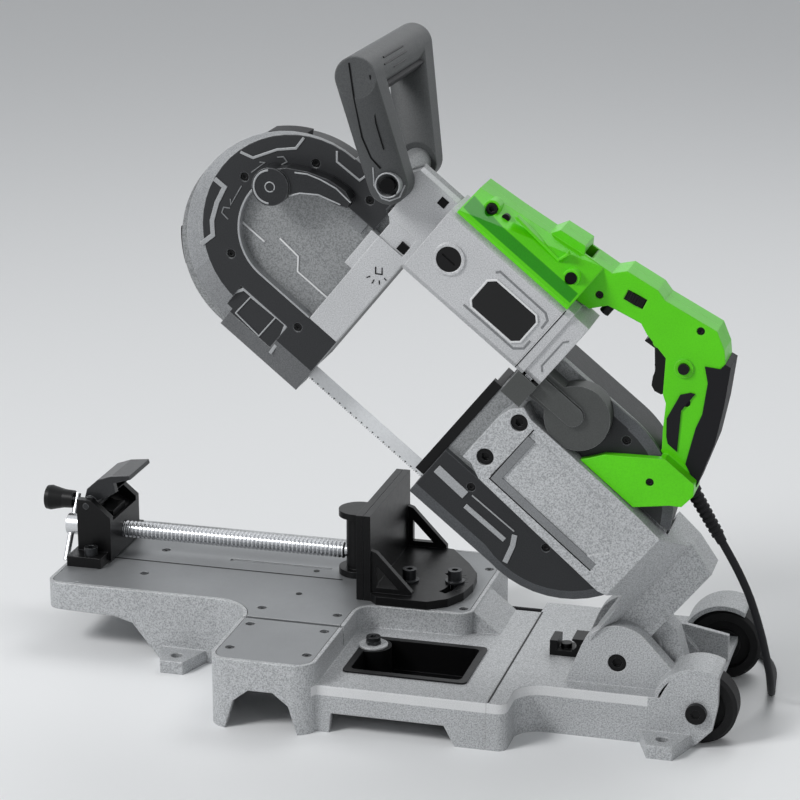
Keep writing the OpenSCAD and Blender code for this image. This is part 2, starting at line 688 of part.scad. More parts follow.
module quadrant_outline() {
  x = jaw_face_x + jaw_t;
  polygon([[x, jaw_front_y], [x + 7, 76], [-188, 76], [-172, 88], [-162, 108], [-158.7, 131],
    [-161.6, 158], [-175, 182], [-198, 215], [x + 7, jaw_back_y], [x, jaw_back_y]]);
}
module fixed_jaw() {
  x1 = jaw_face_x + jaw_t;
  color(black) difference() {
    union() {
      box([jaw_face_x, jaw_front_y, bed_h], [x1, jaw_back_y, bed_h + jaw_h]);
      translate([0, 0, bed_h]) linear_extrude(jaw_base_t) quadrant_outline();
      for (y = [jaw_front_y + 2, jaw_back_y - 8]) slab(y, y + 6)
        polygon([[x1 - 1, bed_h + 5], [x1 - 1, bed_h + 48], [x1 + 5, bed_h + 46],
          [x1 + 38, bed_h + 11], [x1 + 38, bed_h + 5]]);
    }
    for (y = [jaw_front_y + 1, jaw_back_y - 9]) slab(y, y + 8)
      polygon([[x1 + 5, bed_h + 13], [x1 + 5, bed_h + 34], [x1 + 25, bed_h + 13]]);
    for (p = jaw_bolts) rod_z(p[0], p[1], 4.1, bed_h - 1, bed_h + jaw_base_t + 1);
    // arc slot and scale of the mitre setting
    translate([jaw_pivot[0], jaw_pivot[1], bed_h - 1]) rotate([0, 0, -30]) rotate_extrude(angle = 75)
      translate([arc_r - 4.1, 0]) square([8.2, jaw_base_t + 2]);
    for (a = [-20:5:40]) translate([jaw_pivot[0], jaw_pivot[1], bed_h + jaw_base_t - 0.5])
      rotate([0, 0, a]) translate([arc_r + 6.5, -0.3, 0]) cube([a % 10 == 0 ? 6 : 4, 0.6, 1]);
  }
}
// Flange or post of the moving jaw, round toward the screw
module post_slice(r, z0, z1) {
  rod_z(post_x, screw_y, r, z0, z1);
  box([post_x, screw_y - r, z0], [move_face_x - 1, screw_y + r, z1]);
}
module moving_jaw() {
  z0 = bed_h + slip_gap;
  color(black) difference() {
    union() {
      box([move_face_x - jaw_t, jaw_front_y, z0], [move_face_x, jaw_back_y, bed_h + jaw_h]);
      post_slice(19, z0, z0 + 6);
      post_slice(19, bed_h + 57, bed_h + 63);
      post_slice(12, z0, bed_h + 60);
      for (y = [screw_y - 40, screw_y + 34])
        box([move_face_x - jaw_t - 6, y, z0], [move_face_x - 2, y + 6, bed_h + jaw_h - 20]);
    }
    rod_x(screw_y, screw_z, screw_end_r + run_fit, post_x - 20, screw_tip_x + slip_gap);
  }
}
module lead_screw() {
  r = screw_d / 2;
  thread_n = floor((screw_neck_x - crank_x - 14) / screw_pitch);
  thread_z = screw_neck_x - crank_x - thread_n * screw_pitch;
  color(steel) translate([crank_x, screw_y, screw_z]) rotate([0, 90, 0]) rotate_extrude() {
    square([screw_end_r, screw_tip_x - crank_x]);
    for (k = [0:thread_n - 1]) translate([0, thread_z + k * screw_pitch])
      polygon([[r - 2.5, 0], [r - 1.8, 0], [r, screw_pitch * 0.3], [r, screw_pitch * 0.7],
        [r - 1.8, screw_pitch], [r - 2.5, screw_pitch]]);
  }
}
module nut_block() {
  top_z = bed_h + 60;
  color(black) difference() {
    union() {
      box([nut_x0 - 4, screw_y - 57, bed_h], [nut_x1 - 3, screw_y + 57, bed_h + 10]);
      slab(screw_y - 38, screw_y + 38) polygon([[nut_x0, bed_h + 2], [nut_x0, top_z],
        [nut_x0 + 14, top_z], [nut_x1, top_z - 16], [nut_x1, bed_h + 2]]);
    }
    // pocket for the half nut and the lever, open at the top
    box([nut_x0 + 5, screw_y - 16, bed_h + 8], [nut_x1 - 5, screw_y + 16, top_z + 9]);
    slab(screw_y - 30, screw_y + 30) polygon([[nut_x0 + 8, top_z - 12], [nut_x0 - 1, top_z - 8], [nut_x0 - 1, top_z + 1],
      [nut_x1 + 1, top_z + 1], [nut_x1 + 1, top_z - 20], [nut_x1 - 5, top_z - 22]]);
    rod_y(lever_pin_x, lever_pin_z, 7.1, screw_y - 30, screw_y + 30);
    rod_x(screw_y, screw_z, screw_d / 2 + run_fit, nut_x0 - 5, nut_x1 + 5);
    rod_y(lever_pin_x, lever_pin_z, 3 + run_fit, screw_y - 39, screw_y + 39);
    for (y = nut_bolt_ys) rod_z(nut_bolt_x, y, 4.1, bed_h - 1, bed_h + 11);
  }
}
module half_nut() {
  color("#a8a39a") difference() {
    box([nut_x0 + 5 + slip_gap, screw_y - 16 + slip_gap, screw_z + 0.3],
      [nut_x1 - 5 - slip_gap, screw_y + 16 - slip_gap, lever_pin_z - 10.4]);
    rod_x(screw_y, screw_z, screw_d / 2 + run_fit, nut_x0, nut_x1);
  }
}
module release_lever() {
  x = lever_pin_x;
  z = lever_pin_z;
  color(black) {
    rod_y(x, z, 3, screw_y - 38, screw_y + 38);
    difference() {
      union() {
        rod_y(x, z, 6.5, screw_y - 29, screw_y + 29);
        rod_y(x + 2, z - 5, 3.5, screw_y - 15, screw_y + 15);
        slab(screw_y - 26, screw_y + 26) polygon([[x - 6, z + 2], [x - 3, z + 13], [x + 8, z + 23],
          [x + 22, z + 28], [x + 40, z + 30], [x + 41, z + 26], [x + 24, z + 21], [x + 26, z + 12],
          [x + 18, z + 7], [x + 4, z + 1]]);
      }
      slab(screw_y - 20, screw_y + 20) polygon([[x + 10, z + 8], [x + 9, z + 19], [x + 21, z + 24],
        [x + 30, z + 20], [x + 30, z + 8]]);
    }
  }
}
module crank_handle() {
  color(steel) {
    difference() {
      rod_x(screw_y, screw_z, 10, crank_x - 7, crank_x + 8);
      rod_x(screw_y, screw_z, screw_end_r + hole_gap, crank_x, crank_x + 9);
    }
    translate([crank_x - 3.5, screw_y, screw_z]) rotate([-crank_tilt, 0, 0]) {
      translate([0, 0, -crank_down]) cylinder(h = crank_down + crank_up, r = 3);
      translate([-1.5, 0, knob_arm]) rotate([0, -90, 0]) cylinder(h = knob_len - 2, r = 2.5);
    }
  }
}
module crank_knob() {
  color(black) translate([crank_x - 6.4, screw_y, screw_z]) rotate([-crank_tilt, 0, 0])
    translate([0, 0, knob_arm]) rotate([0, -90, 0]) rotate_extrude()
      polygon([[2.5 + run_fit, 0.2], [8.5, 0.2], [9, 10], [12, knob_len - 5], [11.5, knob_len - 1],
        [9, knob_len], [0, knob_len], [0, knob_len - 2.5], [2.5 + run_fit, knob_len - 2.5]]);
}

// Saw head: frames, guards and covers, drawn in the lowered pose

// Outline of a wheel guard: a circle carried on to a straight end
module guard_outline(u, end_u, r) {
  translate([u, bw_rise]) circle(r = r);
  translate([min(u, end_u), bw_rise - r]) square([abs(end_u - u), 2 * r]);
}
module front_frame() {
  face_y = -24;
  color(cast_grey) head() difference() {
    union() {
      slab(web_y, web_back_y) {
        guard_outline(idler_u, front_end_u, guard_r);
        polygon([[-425, 160], [-396, 150], [motor_u0, 150], [motor_u0, motor_w1], [-400, motor_w1],
          [-406, 214], [-421, 207]]);
      }
      // raised bar between the wheel ring and the motor
      slab(face_y, web_y + 1) polygon([[-390, 60], [front_end_u, 60], [front_end_u, 150],
        [motor_u0, 152], [motor_u0, motor_w1], [-399, motor_w1], [-405, 213], [-396, 200], [-396, 176],
        [-390, 170]]);
      slab(cover_face_y - 2, web_y + 1) translate([-398, 117]) square([12, 37.5]);
      rod_y(lug_at[0], lug_at[1], 12, lug_y0, lug_y1);
      // boss of the tension lever and rails of the idler slide
      rod_y(lever_at[0], lever_at[1], 13, lever_y1 + slip_gap, web_y + 1);
      for (w = [bw_rise - 19, bw_rise + 14 + slip_gap])
        box([idler_u - 31, web_back_y - 1, w], [idler_u + 26, web_back_y + 6, w + 4.6]);
    }
    rod_y(lever_at[0], lever_at[1], 6 + run_fit, lever_y1 - 1, web_back_y + 1);
    rod_y(lug_at[0], lug_at[1], handle_bolt_d / 2 + hole_gap, lug_y0 - 1, lug_y1 + 1);
    for (p = front_cover_screws) rod_y(p[0], p[1], 1.6 + hole_gap, web_y - 1, web_y + 7);
    // lamp window in the raised bar
    slab(face_y - 1, face_y + 2) translate([-396, 156]) square([32, 19]);
  }
}
module guard_ring(u, end_u) {
  difference() {
    slab(web_back_y, guard_back_y) difference() {
      guard_outline(u, end_u, guard_r);
      guard_outline(u, end_u + (end_u > u ? 1 : -1), guard_in_r);
    }
    // way out for the blade
    box([end_u - 60, blade_y - 5, bw_rise - guard_r - 1], [end_u + 60, blade_y + 5, bw_rise - guard_in_r + 1]);
  }
}
module end_wall(u0, u1) {
  box([u0, web_back_y, 24], [u1, guard_back_y, 150]);
}
module front_guard() {
  color(dark_grey) head() {
    guard_ring(idler_u, front_end_u);
    end_wall(front_end_u - end_wall_t, front_end_u);
  }
}
// Space that the swing arm takes on its way round the guard
module arm_passage() {
  box([-46.4, web_y - 9, 49], [-30, guard_back_y + 1, 127]);
}
module rear_guard() {
  color(dark_grey) head() difference() {
    union() {
      guard_ring(drive_u, rear_end_u);
      end_wall(rear_end_u, rear_end_u + end_wall_t);
    }
    arm_passage();
    // room for the end cap of the motor
    box([rear_end_u - 1, web_back_y - 1, motor_w0], [cap_u1 + slip_gap, motor_back_y + slip_gap, 200]);
  }
}
// Cover plate with a sloping rim: a wheel circle and a straight end
module cover_body(u, w, r, top_u, top_w, top_r, face_y, end_u, end_face_w) {
  hull() {
    slab(web_y - 3, web_y) translate([u, w]) circle(r = r, $fn = 48);
    slab(face_y, face_y + 1) translate([top_u, top_w]) circle(r = top_r, $fn = 48);
  }
  hull() {
    slab(web_y - 3, web_y) translate([min(u, end_u), -3]) square([abs(end_u - u), 61]);
    slab(face_y, face_y + 1) translate([min(u, end_u), end_face_w]) square([abs(end_u - u), 58 - end_face_w]);
  }
}
module cover_screw_holes(pts, face_y) {
  for (p = pts) rod_y(p[0], p[1], 1.6 + hole_gap, face_y - 1, web_y + 1);
  for (p = pts) rod_y(p[0], p[1], 3.8, face_y - 1, face_y + 4);
}
module front_cover() {
  color(dark_grey) head() difference() {
    union() {
      cover_body(idler_u + 3, bw_rise + 9, 91.5, idler_u + 3, bw_rise + 20, 82, cover_face_y,
        front_end_u, 22);
      hull() {
        slab(web_y - 3, web_y) translate([idler_u + 3, 150]) square([48, 46]);
        slab(cover_face_y, cover_face_y + 1) translate([idler_u + 3, 150]) square([46, 41]);
      }
    }
    // opening that shows the frame plate
    slab(cover_face_y - 1, web_y + 1) {
      translate([idler_u + 2, 107]) circle(r = 48);
      translate([idler_u + 2, 59]) square([60, 96]);
    }
    slab(cover_face_y - 1, web_y + 1) translate([-396 - slip_gap, 58.5]) square([60, 150]);
    rod_y(lever_at[0], lever_at[1], 13.4, cover_face_y - 1, web_y + 1);
    rod_y(lug_at[0], lug_at[1], 12 + slip_gap, cover_face_y - 1, web_y + 1);
    cover_screw_holes(front_cover_screws, cover_face_y);
    // pocket in the foot
    box([-452, cover_face_y - 1, 12], [-400, cover_face_y + 3, 38]);
  }
}
module rear_frame() {
  color(cast_grey) head() difference() {
    union() {
      slab(web_y, web_back_y) guard_outline(drive_u, rear_end_u, guard_r);
      rod_y(drive_u, bw_rise, 14, web_y, -slip_gap);
    }
    arm_passage();
    // seat of the gear case and of the motor end cap
    box([rear_end_u - 1, web_y - 1, 131 - slip_gap], [cap_u1, web_back_y + 1, 200]);
    rod_y(drive_u, bw_rise, shaft_r + run_fit, web_y - 1, 1);
    rod_y(crown_u, layshaft_w, 5 + run_fit, web_y - 1, web_back_y + 1);
    for (p = arm_bolts) rod_y(p[0], p[1], small_bolt_r + hole_gap, web_y - 1, web_back_y + 1);
    for (p = rear_cover_screws) rod_y(p[0], p[1], 1.6 + hole_gap, web_y - 1, web_y + 7);
  }
}
module rear_cover() {
  color(dark_grey) head() difference() {
    union() {
      cover_body(drive_u, bw_rise, guard_r + cover_lap, drive_u, bw_rise, guard_r - 6,
        rear_cover_face_y, rear_end_u, 8);
      hull() {
        slab(web_y - 3, web_y) translate([rear_end_u, 126]) square([101, 53]);
        slab(rear_cover_face_y, rear_cover_face_y + 1) translate([rear_end_u + 2, 126]) square([99, 46]);
      }
    }
    // clear of the swing arm, the gear case and the motor end cap
    slab(rear_cover_face_y - 1, web_y + 1)
      polygon([[rear_end_u - 1, 49], [-30, 49], [-30, 126.5], [-176, 127], [-182, 137], [-195, 137], [-195, 131 - slip_gap],
        [rear_end_u - 1, 131 - slip_gap]]);
    rod_y(crown_u, layshaft_w, 28 + slip_gap, rear_cover_face_y - 1, web_y + 1);
    box([rear_end_u - 1, rear_cover_face_y - 1, 129], [-190 + slip_gap, web_y + 1, 185]);
    box([-192, rear_cover_face_y - 1, 170], [crown_u, web_y + 1, 185]);
    cover_screw_holes(rear_cover_screws, rear_cover_face_y);
  }
}
module bumpers() {
  color(black) head() {
    for (a = [118, 215]) sector_y(idler_u, bw_rise, guard_r + 0.1, guard_r + 5, 2, 26, a, a + 20);
    sector_y(drive_u, bw_rise, guard_r + 0.1, guard_r + 5, 2, 26, -62, -38);
  }
}
// Screw along Y with a socket, its head starting at y
module screw_y(u, w, r, y, head_r, head_h, len) {
  difference() {
    union() {
      rod_y(u, w, head_r, y, y + head_h);
      rod_y(u, w, r, y + head_h - 0.5, y + len);
    }
    translate([u, y + head_h * 0.6, w]) rotate([90, 0, 0]) cylinder(h = head_h, r = head_r * 0.55, $fn = 6);
  }
}
shell_screws = [[-222, 240], [-141, 274], [-109.7, 220]];
socket_screws = [[-334, 239], [-248.5, 241]];
foot_screw = [-88, 152];
module head_screws() {
  color("#242426") head() {
    for (p = front_cover_screws) screw_y(p[0], p[1], 1.6, cover_face_y + 1.5, 3.4, 2.5, 14);
    for (p = rear_cover_screws) screw_y(p[0], p[1], 1.6, rear_cover_face_y + 1.5, 3.4, 2.5, 11);
    for (p = arm_bolts) screw_y(p[0], p[1], small_bolt_r, arm_front_y + 2, 7, 6, 26.5);
    for (p = shell_screws) screw_y(p[0], p[1], 1.6, shell_y0 + 1, 3, 2.5, 26);
    for (p = socket_screws) screw_y(p[0], p[1], 2.5, -26, 4.5, 6, 14);
    screw_y(foot_screw[0], foot_screw[1], 1.6, -23, 3, 2, 5);
    // bolt of the top handle and its nut
    rod_y(lug_at[0], lug_at[1], handle_bolt_d / 2, lug_y0 - foot_t + 5, lug_y1 + foot_t - 5);
    // clamp bolt under the rear handle
    rod_z(-209.5, shell_y0 + 8, 4.5, 229, 240);
  }
}
module arm_outline() {
  polygon([[-217, 61], [-217, 108.5], [-214, 121], [-206.6, 130], [-195, 126], [-118, 125.4],
    [-72, 124], [-20, 120], [7, 112], [7, 0], [-30, 0], [-34, 40], [-38, 56], [-46, 54],
    [-58, 50.4], [-124, 52.8], [-195, 55.5], [-208, 61.4]]);
}
module swing_arm() {
  color("#c0c2c3") head() difference() {
    union() {
      intersection() {
        slab(arm_front_y, arm_y1) arm_outline();
        linear_extrude(300, center = true) polygon([[-218, arm_front_y], [-50, arm_front_y], [-24, 8],
          [-24, arm_y0], [8, arm_y0], [8, arm_y1], [-46, arm_y1], [-46, web_y], [-218, web_y]]);
      }
      rod_y(0, 0, hub_r, arm_y0, arm_y1);
      rod_y(0, 0, sleeve_r, arm_y1 - 1, ear_back_y - slip_gap);
    }
    rod_y(0, 0, pivot_d / 2 + run_fit, arm_y0 - 1, ear_back_y);
    // clear of the front ear
    rod_y(0, 0, ear_r + slip_gap, -slip_gap, arm_y0);
    for (p = arm_bolts) {
      rod_y(p[0], p[1], small_bolt_r + hole_gap, arm_front_y - 1, web_y + 1);
      rod_y(p[0], p[1], 7.5, arm_front_y - 1, arm_front_y + 8);
    }
    // recessed chevron
    slab(arm_front_y - 1, arm_front_y + 1.2)
      polygon([[-187, 118], [-189, 65], [-90, 61], [-72, 84], [-90, 114]]);
  }
}

// Motor and drive train

module motor_section(i) {
  polygon([[motor_front_y + i, motor_w0 + 5 + i], [motor_front_y + i, motor_w1 - 5 - i],
    [motor_front_y + 5 + i, motor_w1 - i], [motor_back_y - i, motor_w1 - i],
    [motor_back_y - i, motor_w0 + i], [motor_front_y + 5 + i, motor_w0 + i]]);
}
module motor_housing() {
  color(cast_grey) head() difference() {
    union() {
      bar_x(motor_u0, motor_u1) motor_section(0);
      rod_y(brush_u, motor_rise, 13.5, motor_front_y - 1.5, motor_front_y + 1);
    }
    rod_x(motor_y, motor_rise, stator_r + hole_gap, motor_u0 + 4, motor_u1 + 1);
    rod_x(motor_y, motor_rise, motor_shaft_r + run_fit, motor_u0 + 1, motor_u0 + 5);
    rod_y(brush_u, motor_rise, 10.7 + hole_gap, motor_front_y - 2, motor_y);
    rod_y(brush_u, motor_rise, 10.7 + hole_gap, motor_y, motor_back_y + 1);
  }
}
module motor_end_cap() {
  color(cast_grey) head() difference() {
    union() {
      bar_x(motor_u1, motor_u1 + 9) motor_section(0);
      bar_x(motor_u1 + 8, cap_u1) motor_section(2);
    }
    rod_x(motor_y, motor_rise, motor_shaft_r + run_fit, motor_u1 - 1, cap_u1 - 1.5);
    rod_x(motor_y, motor_rise, motor_pinion_r + 0.6, lay_gear_u - 2, lay_gear_u + gear_t + 2);
    rod_x(layshaft_y, layshaft_w, lay_gear_r + 0.6, lay_gear_u - 2, lay_gear_u + gear_t + 2);
    rod_x(layshaft_y, layshaft_w, 4 + run_fit, motor_u1 + 5, cap_u1 + 1);
  }
}
module brush_caps() {
  cap_in = 3;
  color(black) head() {
    difference() {
      union() {
        rod_y(brush_u, motor_rise, 10.7, motor_front_y - 1, motor_front_y + cap_in);
        rod_y(brush_u, motor_rise, 3, motor_front_y + cap_in - 1, motor_y - 11 - slip_gap);
      }
      box([brush_u - 7, motor_front_y - 2, motor_rise - 1], [brush_u + 7, motor_front_y + 0.5, motor_rise + 1]);
    }
    difference() {
      union() {
        rod_y(brush_u, motor_rise, 10.7, motor_back_y - cap_in, motor_back_y);
        rod_y(brush_u, motor_rise, 3, motor_y + 11 + slip_gap, motor_back_y - cap_in + 1);
      }
      box([brush_u - 7, motor_back_y - 1, motor_rise - 1], [brush_u + 7, motor_back_y + 1, motor_rise + 1]);
    }
  }
}
module label_plate() {
  color(black) head() slab(motor_front_y - 1, motor_front_y)
    polygon([[-297, 176], [-297, 197], [-292, 202], [-250, 202], [-246, 198], [-246, 177],
      [-251, 172], [-293, 172]]);
}
module stator() {
  color("#6b5a45") head() difference() {
    rod_x(motor_y, motor_rise, stator_r, -318, -262);
    rod_x(motor_y, motor_rise, armature_r + slip_gap, -319, -261);
  }
}
// Toothed outline whose tips lie at radius r
module gear_outline(r, n, depth) {
  polygon([for (i = [0:n - 1]) for (k = [[0, 0], [0.3, 0], [0.5, depth], [0.8, depth]])
    let (a = 360 * (i + k[0]) / n) (r - k[1]) * [cos(a), sin(a)]]);
}
module armature() {
  color("#8a5a3a") head() {
    rod_x(motor_y, motor_rise, motor_shaft_r, motor_u0 + 2, cap_u1 - 2);
    rod_x(motor_y, motor_rise, armature_r, -315, -265);
    rod_x(motor_y, motor_rise, 11, brush_u - 9, brush_u + 9);
    rod_x(motor_y, motor_rise, stator_r - 2, -254, -244);
    translate([lay_gear_u, motor_y, motor_rise]) rotate([90, 0, 90])
      linear_extrude(gear_t) gear_outline(motor_pinion_r, 18, 2);
  }
}
module gear_case() {
  block_u0 = rear_end_u + slip_gap;
  color("#9b9d9e") head() difference() {
    union() {
      box([block_u0, motor_front_y + 4, 131], [cap_u1, web_back_y - slip_gap, motor_w0]);
      slab(-28, web_y) intersection() {
        translate([crown_u, layshaft_w]) circle(r = 28);
        translate([crown_u - 30, 126.6]) square([60, 60]);
      }
      box([cap_u1, -28, 140], [crown_u - 20, web_y, 166]);
      // tongue over the layshaft
      slab(-32, -27) {
        translate([crown_u - 4, layshaft_w]) circle(r = 9);
        translate([cap_u1, layshaft_w - 9]) square([crown_u - 4 - cap_u1, 18]);
      }
    }
    rod_x(layshaft_y, layshaft_w, lay_gear_r + 0.6, lay_gear_u - 2, lay_gear_u + gear_t + 2);
    rod_x(layshaft_y, layshaft_w, 4 + run_fit, block_u0 + 1, crown_u - 14);
    rod_x(layshaft_y, layshaft_w, lay_pinion_r + 0.6, crown_u - 27, crown_u - 14);
    rod_y(crown_u, layshaft_w, crown_r + 0.6, layshaft_y + lay_pinion_r, web_y + 1);
    rod_y(crown_u, layshaft_w, 5 + run_fit, -26, web_y);
  }
}
module layshaft() {
  color(steel) head() {
    rod_x(layshaft_y, layshaft_w, 4, lay_gear_u - 5, crown_u - 14.5);
    translate([lay_gear_u, layshaft_y, layshaft_w]) rotate([90, 0, 90])
      linear_extrude(gear_t) gear_outline(lay_gear_r, 16, 2);
    rod_x(layshaft_y, layshaft_w, lay_pinion_r, crown_u - 26, crown_u - 15);
  }
}
module crown_gear() {
  color(steel) head() {
    rod_y(crown_u, layshaft_w, 5, -25.5, final_gear_y1);
    rod_y(crown_u, layshaft_w, crown_r, layshaft_y + lay_pinion_r + slip_gap, web_y - slip_gap);
    slab(final_gear_y0, final_gear_y1)
      translate([crown_u, layshaft_w]) gear_outline(pinion_r, 12, 2);
  }
}
// Spoked wheel body that carries the blade, without its tyre
module wheel_body() {
  rim_r = bw_r - tyre_t;
  mid = bw_w / 2;
  difference() {
    rotate_extrude() {
      translate([0, 0]) square([20, bw_w]);
      translate([0, mid - 4]) square([rim_r, 8]);
      translate([rim_r - 9, 0]) square([9, bw_w]);
    }
    for (a = [0:60:300]) rotate([0, 0, a]) translate([44, 0, -1]) cylinder(h = bw_w + 2, r = 13);
  }
}
module wheel_tyre(u) {
  color(black) head() turned_y(u, bw_y0, bw_rise)
    translate([bw_r - tyre_t, 0]) square([tyre_t, bw_w]);
}
module drive_wheel() {
  color(cast_grey) head() difference() {
    union() {
      translate([drive_u, bw_y0, bw_rise]) rotate([-90, 0, 0]) wheel_body();
      rod_y(drive_u, bw_rise, 12, final_gear_y0, bw_y0 + 1);
      slab(final_gear_y0, final_gear_y1) translate([drive_u, bw_rise]) gear_outline(final_gear_r, 61, 2);
      rod_y(drive_u, bw_rise, shaft_r, web_y + 0.5, bw_y1 + 4);
    }
    rod_y(drive_u, bw_rise, 2.5, bw_y1, bw_y1 + 5);
  }
}
module drive_tyre() { wheel_tyre(drive_u); }
module idler_wheel() {
  color(cast_grey) head() difference() {
    translate([idler_u, bw_y0, bw_rise]) rotate([-90, 0, 0]) wheel_body();
    rod_y(idler_u, bw_rise, shaft_r + run_fit, bw_y0 - 1, bw_y1 + 1);
  }
}
module idler_tyre() { wheel_tyre(idler_u); }
module idler_slide() {
  color("#77797b") head() {
    box([idler_u - 20, web_back_y + slip_gap, bw_rise - 14], [idler_u + 20, bw_y0 - 0.6, bw_rise + 14]);
    rod_y(idler_u, bw_rise, shaft_r, bw_y0 - 1, bw_y1 + 3);
    rod_y(idler_u, bw_rise, shaft_r + 4, bw_y1 + slip_gap, bw_y1 + 3);
  }
}
module tension_lever() {
  color("#4a4c50") head() {
    rod_y(lever_at[0], lever_at[1], 6, lever_y1 - 1, web_back_y + 4);
    rod_y(lever_at[0], lever_at[1], 9, web_back_y + slip_gap, web_back_y + 4);
    translate([lever_at[0], 0, lever_at[1]]) {
      rod_y(0, 0, 16, lever_y0, lever_y1);
      slab(lever_y0 + 3, lever_y1) polygon([[-8, 12], [0, 21], [16, 31], [34, 38], [50, 40], [58, 37],
        [60, 30], [52, 26], [36, 23], [22, 13], [12, 0]]);
    }
  }
}

// Blade: a band round both wheels, its lower run turned on edge between the guides
twist_u = [idler_u + 10, idler_u + 71, drive_u - 84, drive_u - 10];
function ease(t) = let (s = max(0, min(1, t))) s * s * (3 - 2 * s);
function blade_turn(u) = 90 * ease((u - twist_u[0]) / (twist_u[1] - twist_u[0]))
  * ease((twist_u[3] - u) / (twist_u[3] - twist_u[2]));
blade_steps = 44;
module blade_lower_run() {
  us = [for (i = [0:blade_steps]) idler_u + bw_span * i / blade_steps];
  pts = [for (u = us) let (a = blade_turn(u))
    for (c = [[-1, -1], [1, -1], [1, 1], [-1, 1]]) let (x = c[0] * blade_w / 2, z = c[1] * blade_t / 2)
      [u, blade_y + x * cos(a) - z * sin(a), blade_bottom + x * sin(a) + z * cos(a)]];
  m = blade_steps;
  sides = [for (i = [0:m - 1]) for (k = [0:3]) let (j = (k + 1) % 4)
    each [[4 * i + k, 4 * i + 4 + k, 4 * i + 4 + j], [4 * i + k, 4 * i + 4 + j, 4 * i + j]]];
  polyhedron(points = pts, faces = concat(sides, [[0, 1, 2, 3], [4 * m + 3, 4 * m + 2, 4 * m + 1, 4 * m]]));
}
module blade() {
  y0 = blade_y - blade_w / 2;
  y1 = blade_y + blade_w / 2;
  color(steel) head() {
    sector_y(idler_u, bw_rise, blade_r, blade_r + blade_t, y0, y1, 90, 270);
    sector_y(drive_u, bw_rise, blade_r, blade_r + blade_t, y0, y1, -90, 90);
    box([idler_u, y0, bw_rise + blade_r], [drive_u, y1, bw_rise + blade_r + blade_t]);
    blade_lower_run();
  }
}
guide_us = [front_end_u - 12, rear_end_u + 10];
bearing_r = 6;
bearing_off = blade_t / 2 + seat_gap + bearing_r;
back_bearing_w = blade_bottom + blade_w / 2 + seat_gap + bearing_r;
module blade_guides() {
  color("#55575a") head() for (u = guide_us) {
    box([u - 6, web_back_y, back_bearing_w + 6.5], [u + 6, blade_y + bearing_off + 5, back_bearing_w + 12]);
    for (s = [-1, 1])
      rod_z(u, blade_y + s * bearing_off, 2, blade_bottom - 4, back_bearing_w + 7);
    rod_y(u, back_bearing_w, 2, blade_y - bearing_off, blade_y + bearing_off);
  }
}
module guide_bearings() {
  color(steel) head() for (u = guide_us) {
    for (s = [-1, 1]) difference() {
      rod_z(u, blade_y + s * bearing_off, bearing_r, blade_bottom - 3, blade_bottom + 2);
      rod_z(u, blade_y + s * bearing_off, 2 + hole_gap, blade_bottom - 4, blade_bottom + 3);
    }
    difference() {
      rod_y(u, back_bearing_w, bearing_r, blade_y - 2.5, blade_y + 2.5);
      rod_y(u, back_bearing_w, 2 + hole_gap, blade_y - 3, blade_y + 3);
    }
  }
}
module work_stop() {
  color(black) head() {
    box([rear_end_u - 6, web_y - 1, 16], [rear_end_u, guard_back_y - 4, 123]);
    box([rear_end_u - 9, web_y - 1, 16], [rear_end_u, web_y + 5, 123]);
  }
}

// Handles and shells

function ridge_w(u) = ridge_w0 + (u + 353) * ridge_rise;
module shell_outline() {
  polygon([[-353, motor_w1 + slip_gap], [-353, ridge_w0], [-317, 245.6], [-286, 250], [-281, 259.5],
    [-257, 263.4], [-253, 257.7], [-226, 261], [-218, 271], [-189, 276], [-179, 273.6], [-131, 283],
    [-116, 275], [-108, 267], [-108.4, 258.5], [-89.5, 236.2], [-74.3, 207.7], [-62.8, 173.9],
    [-56, 168], [-55, 154], [-64, 146], [-97, 160], [-98.5, 175.9], [-109.3, 189.7], [-121.7, 207.8],
    [-128.6, 212], [-147, 237], [-171.6, 241.6], [-181, 245.3], [-211, 238], [-220.6, 225.4],
    [-234, motor_w1 + slip_gap]]);
}
module shell_inside() {
  polygon([[-349, 227], [-349, 238.5], [-284, 247], [-278, 256], [-260, 259], [-224, 257.5],
    [-215, 267.5], [-189, 272], [-133, 279], [-119, 271.5], [-112, 263], [-93, 234], [-79, 206],
    [-68, 178], [-92, 178], [-104, 191], [-118, 211], [-143, 240], [-170, 246], [-182, 249.5],
    [-213, 242], [-223, 228]]);
}
module foot_outline() {
  polygon([[-142.6, 126.2], [-138, 133], [-130.8, 143.8], [-97, 171.7], [-92, 176], [-60, 176],
    [-54, 168], [-55, 154], [-63, 148], [-84, 125.6]]);
}
// Room for the trigger and its stroke
module trigger_slot() {
  slab(grip_mid_y - trigger_w / 2 - 0.6, grip_mid_y + trigger_w / 2 + 0.6)
    polygon([[-174, 228], [-171, 253], [-148, 253], [-138, 243], [-118, 216], [-112, 200], [-134, 200]]);
}
module clear_of_guard() {
  rod_y(drive_u, bw_rise, guard_r + cover_lap + slip_gap, rear_cover_face_y - slip_gap, guard_back_y);
}
module shell_holes() {
  trigger_slot();
  clear_of_guard();
  rod_y(trigger_pivot[0], trigger_pivot[1], 2.5 + run_fit, grip_mid_y - 11.4, grip_mid_y + 11.4);
  translate([dial_at[0], dial_y, dial_at[1]]) rotate([0, dial_tilt, 0])
    cylinder(h = dial_t + 1, r = dial_r + slip_gap, center = true);
  for (p = shell_screws) rod_y(p[0], p[1], 1.6 + hole_gap, shell_y0 - 1, shell_y0 + 27.5);
  rod_z(-209.5, shell_y0 + 8, 4.5 + hole_gap, 220, 240.2);
}
module shell_bosses(y0, y1) {
  for (p = shell_screws) rod_y(p[0], p[1], 5, y0, y1);
}
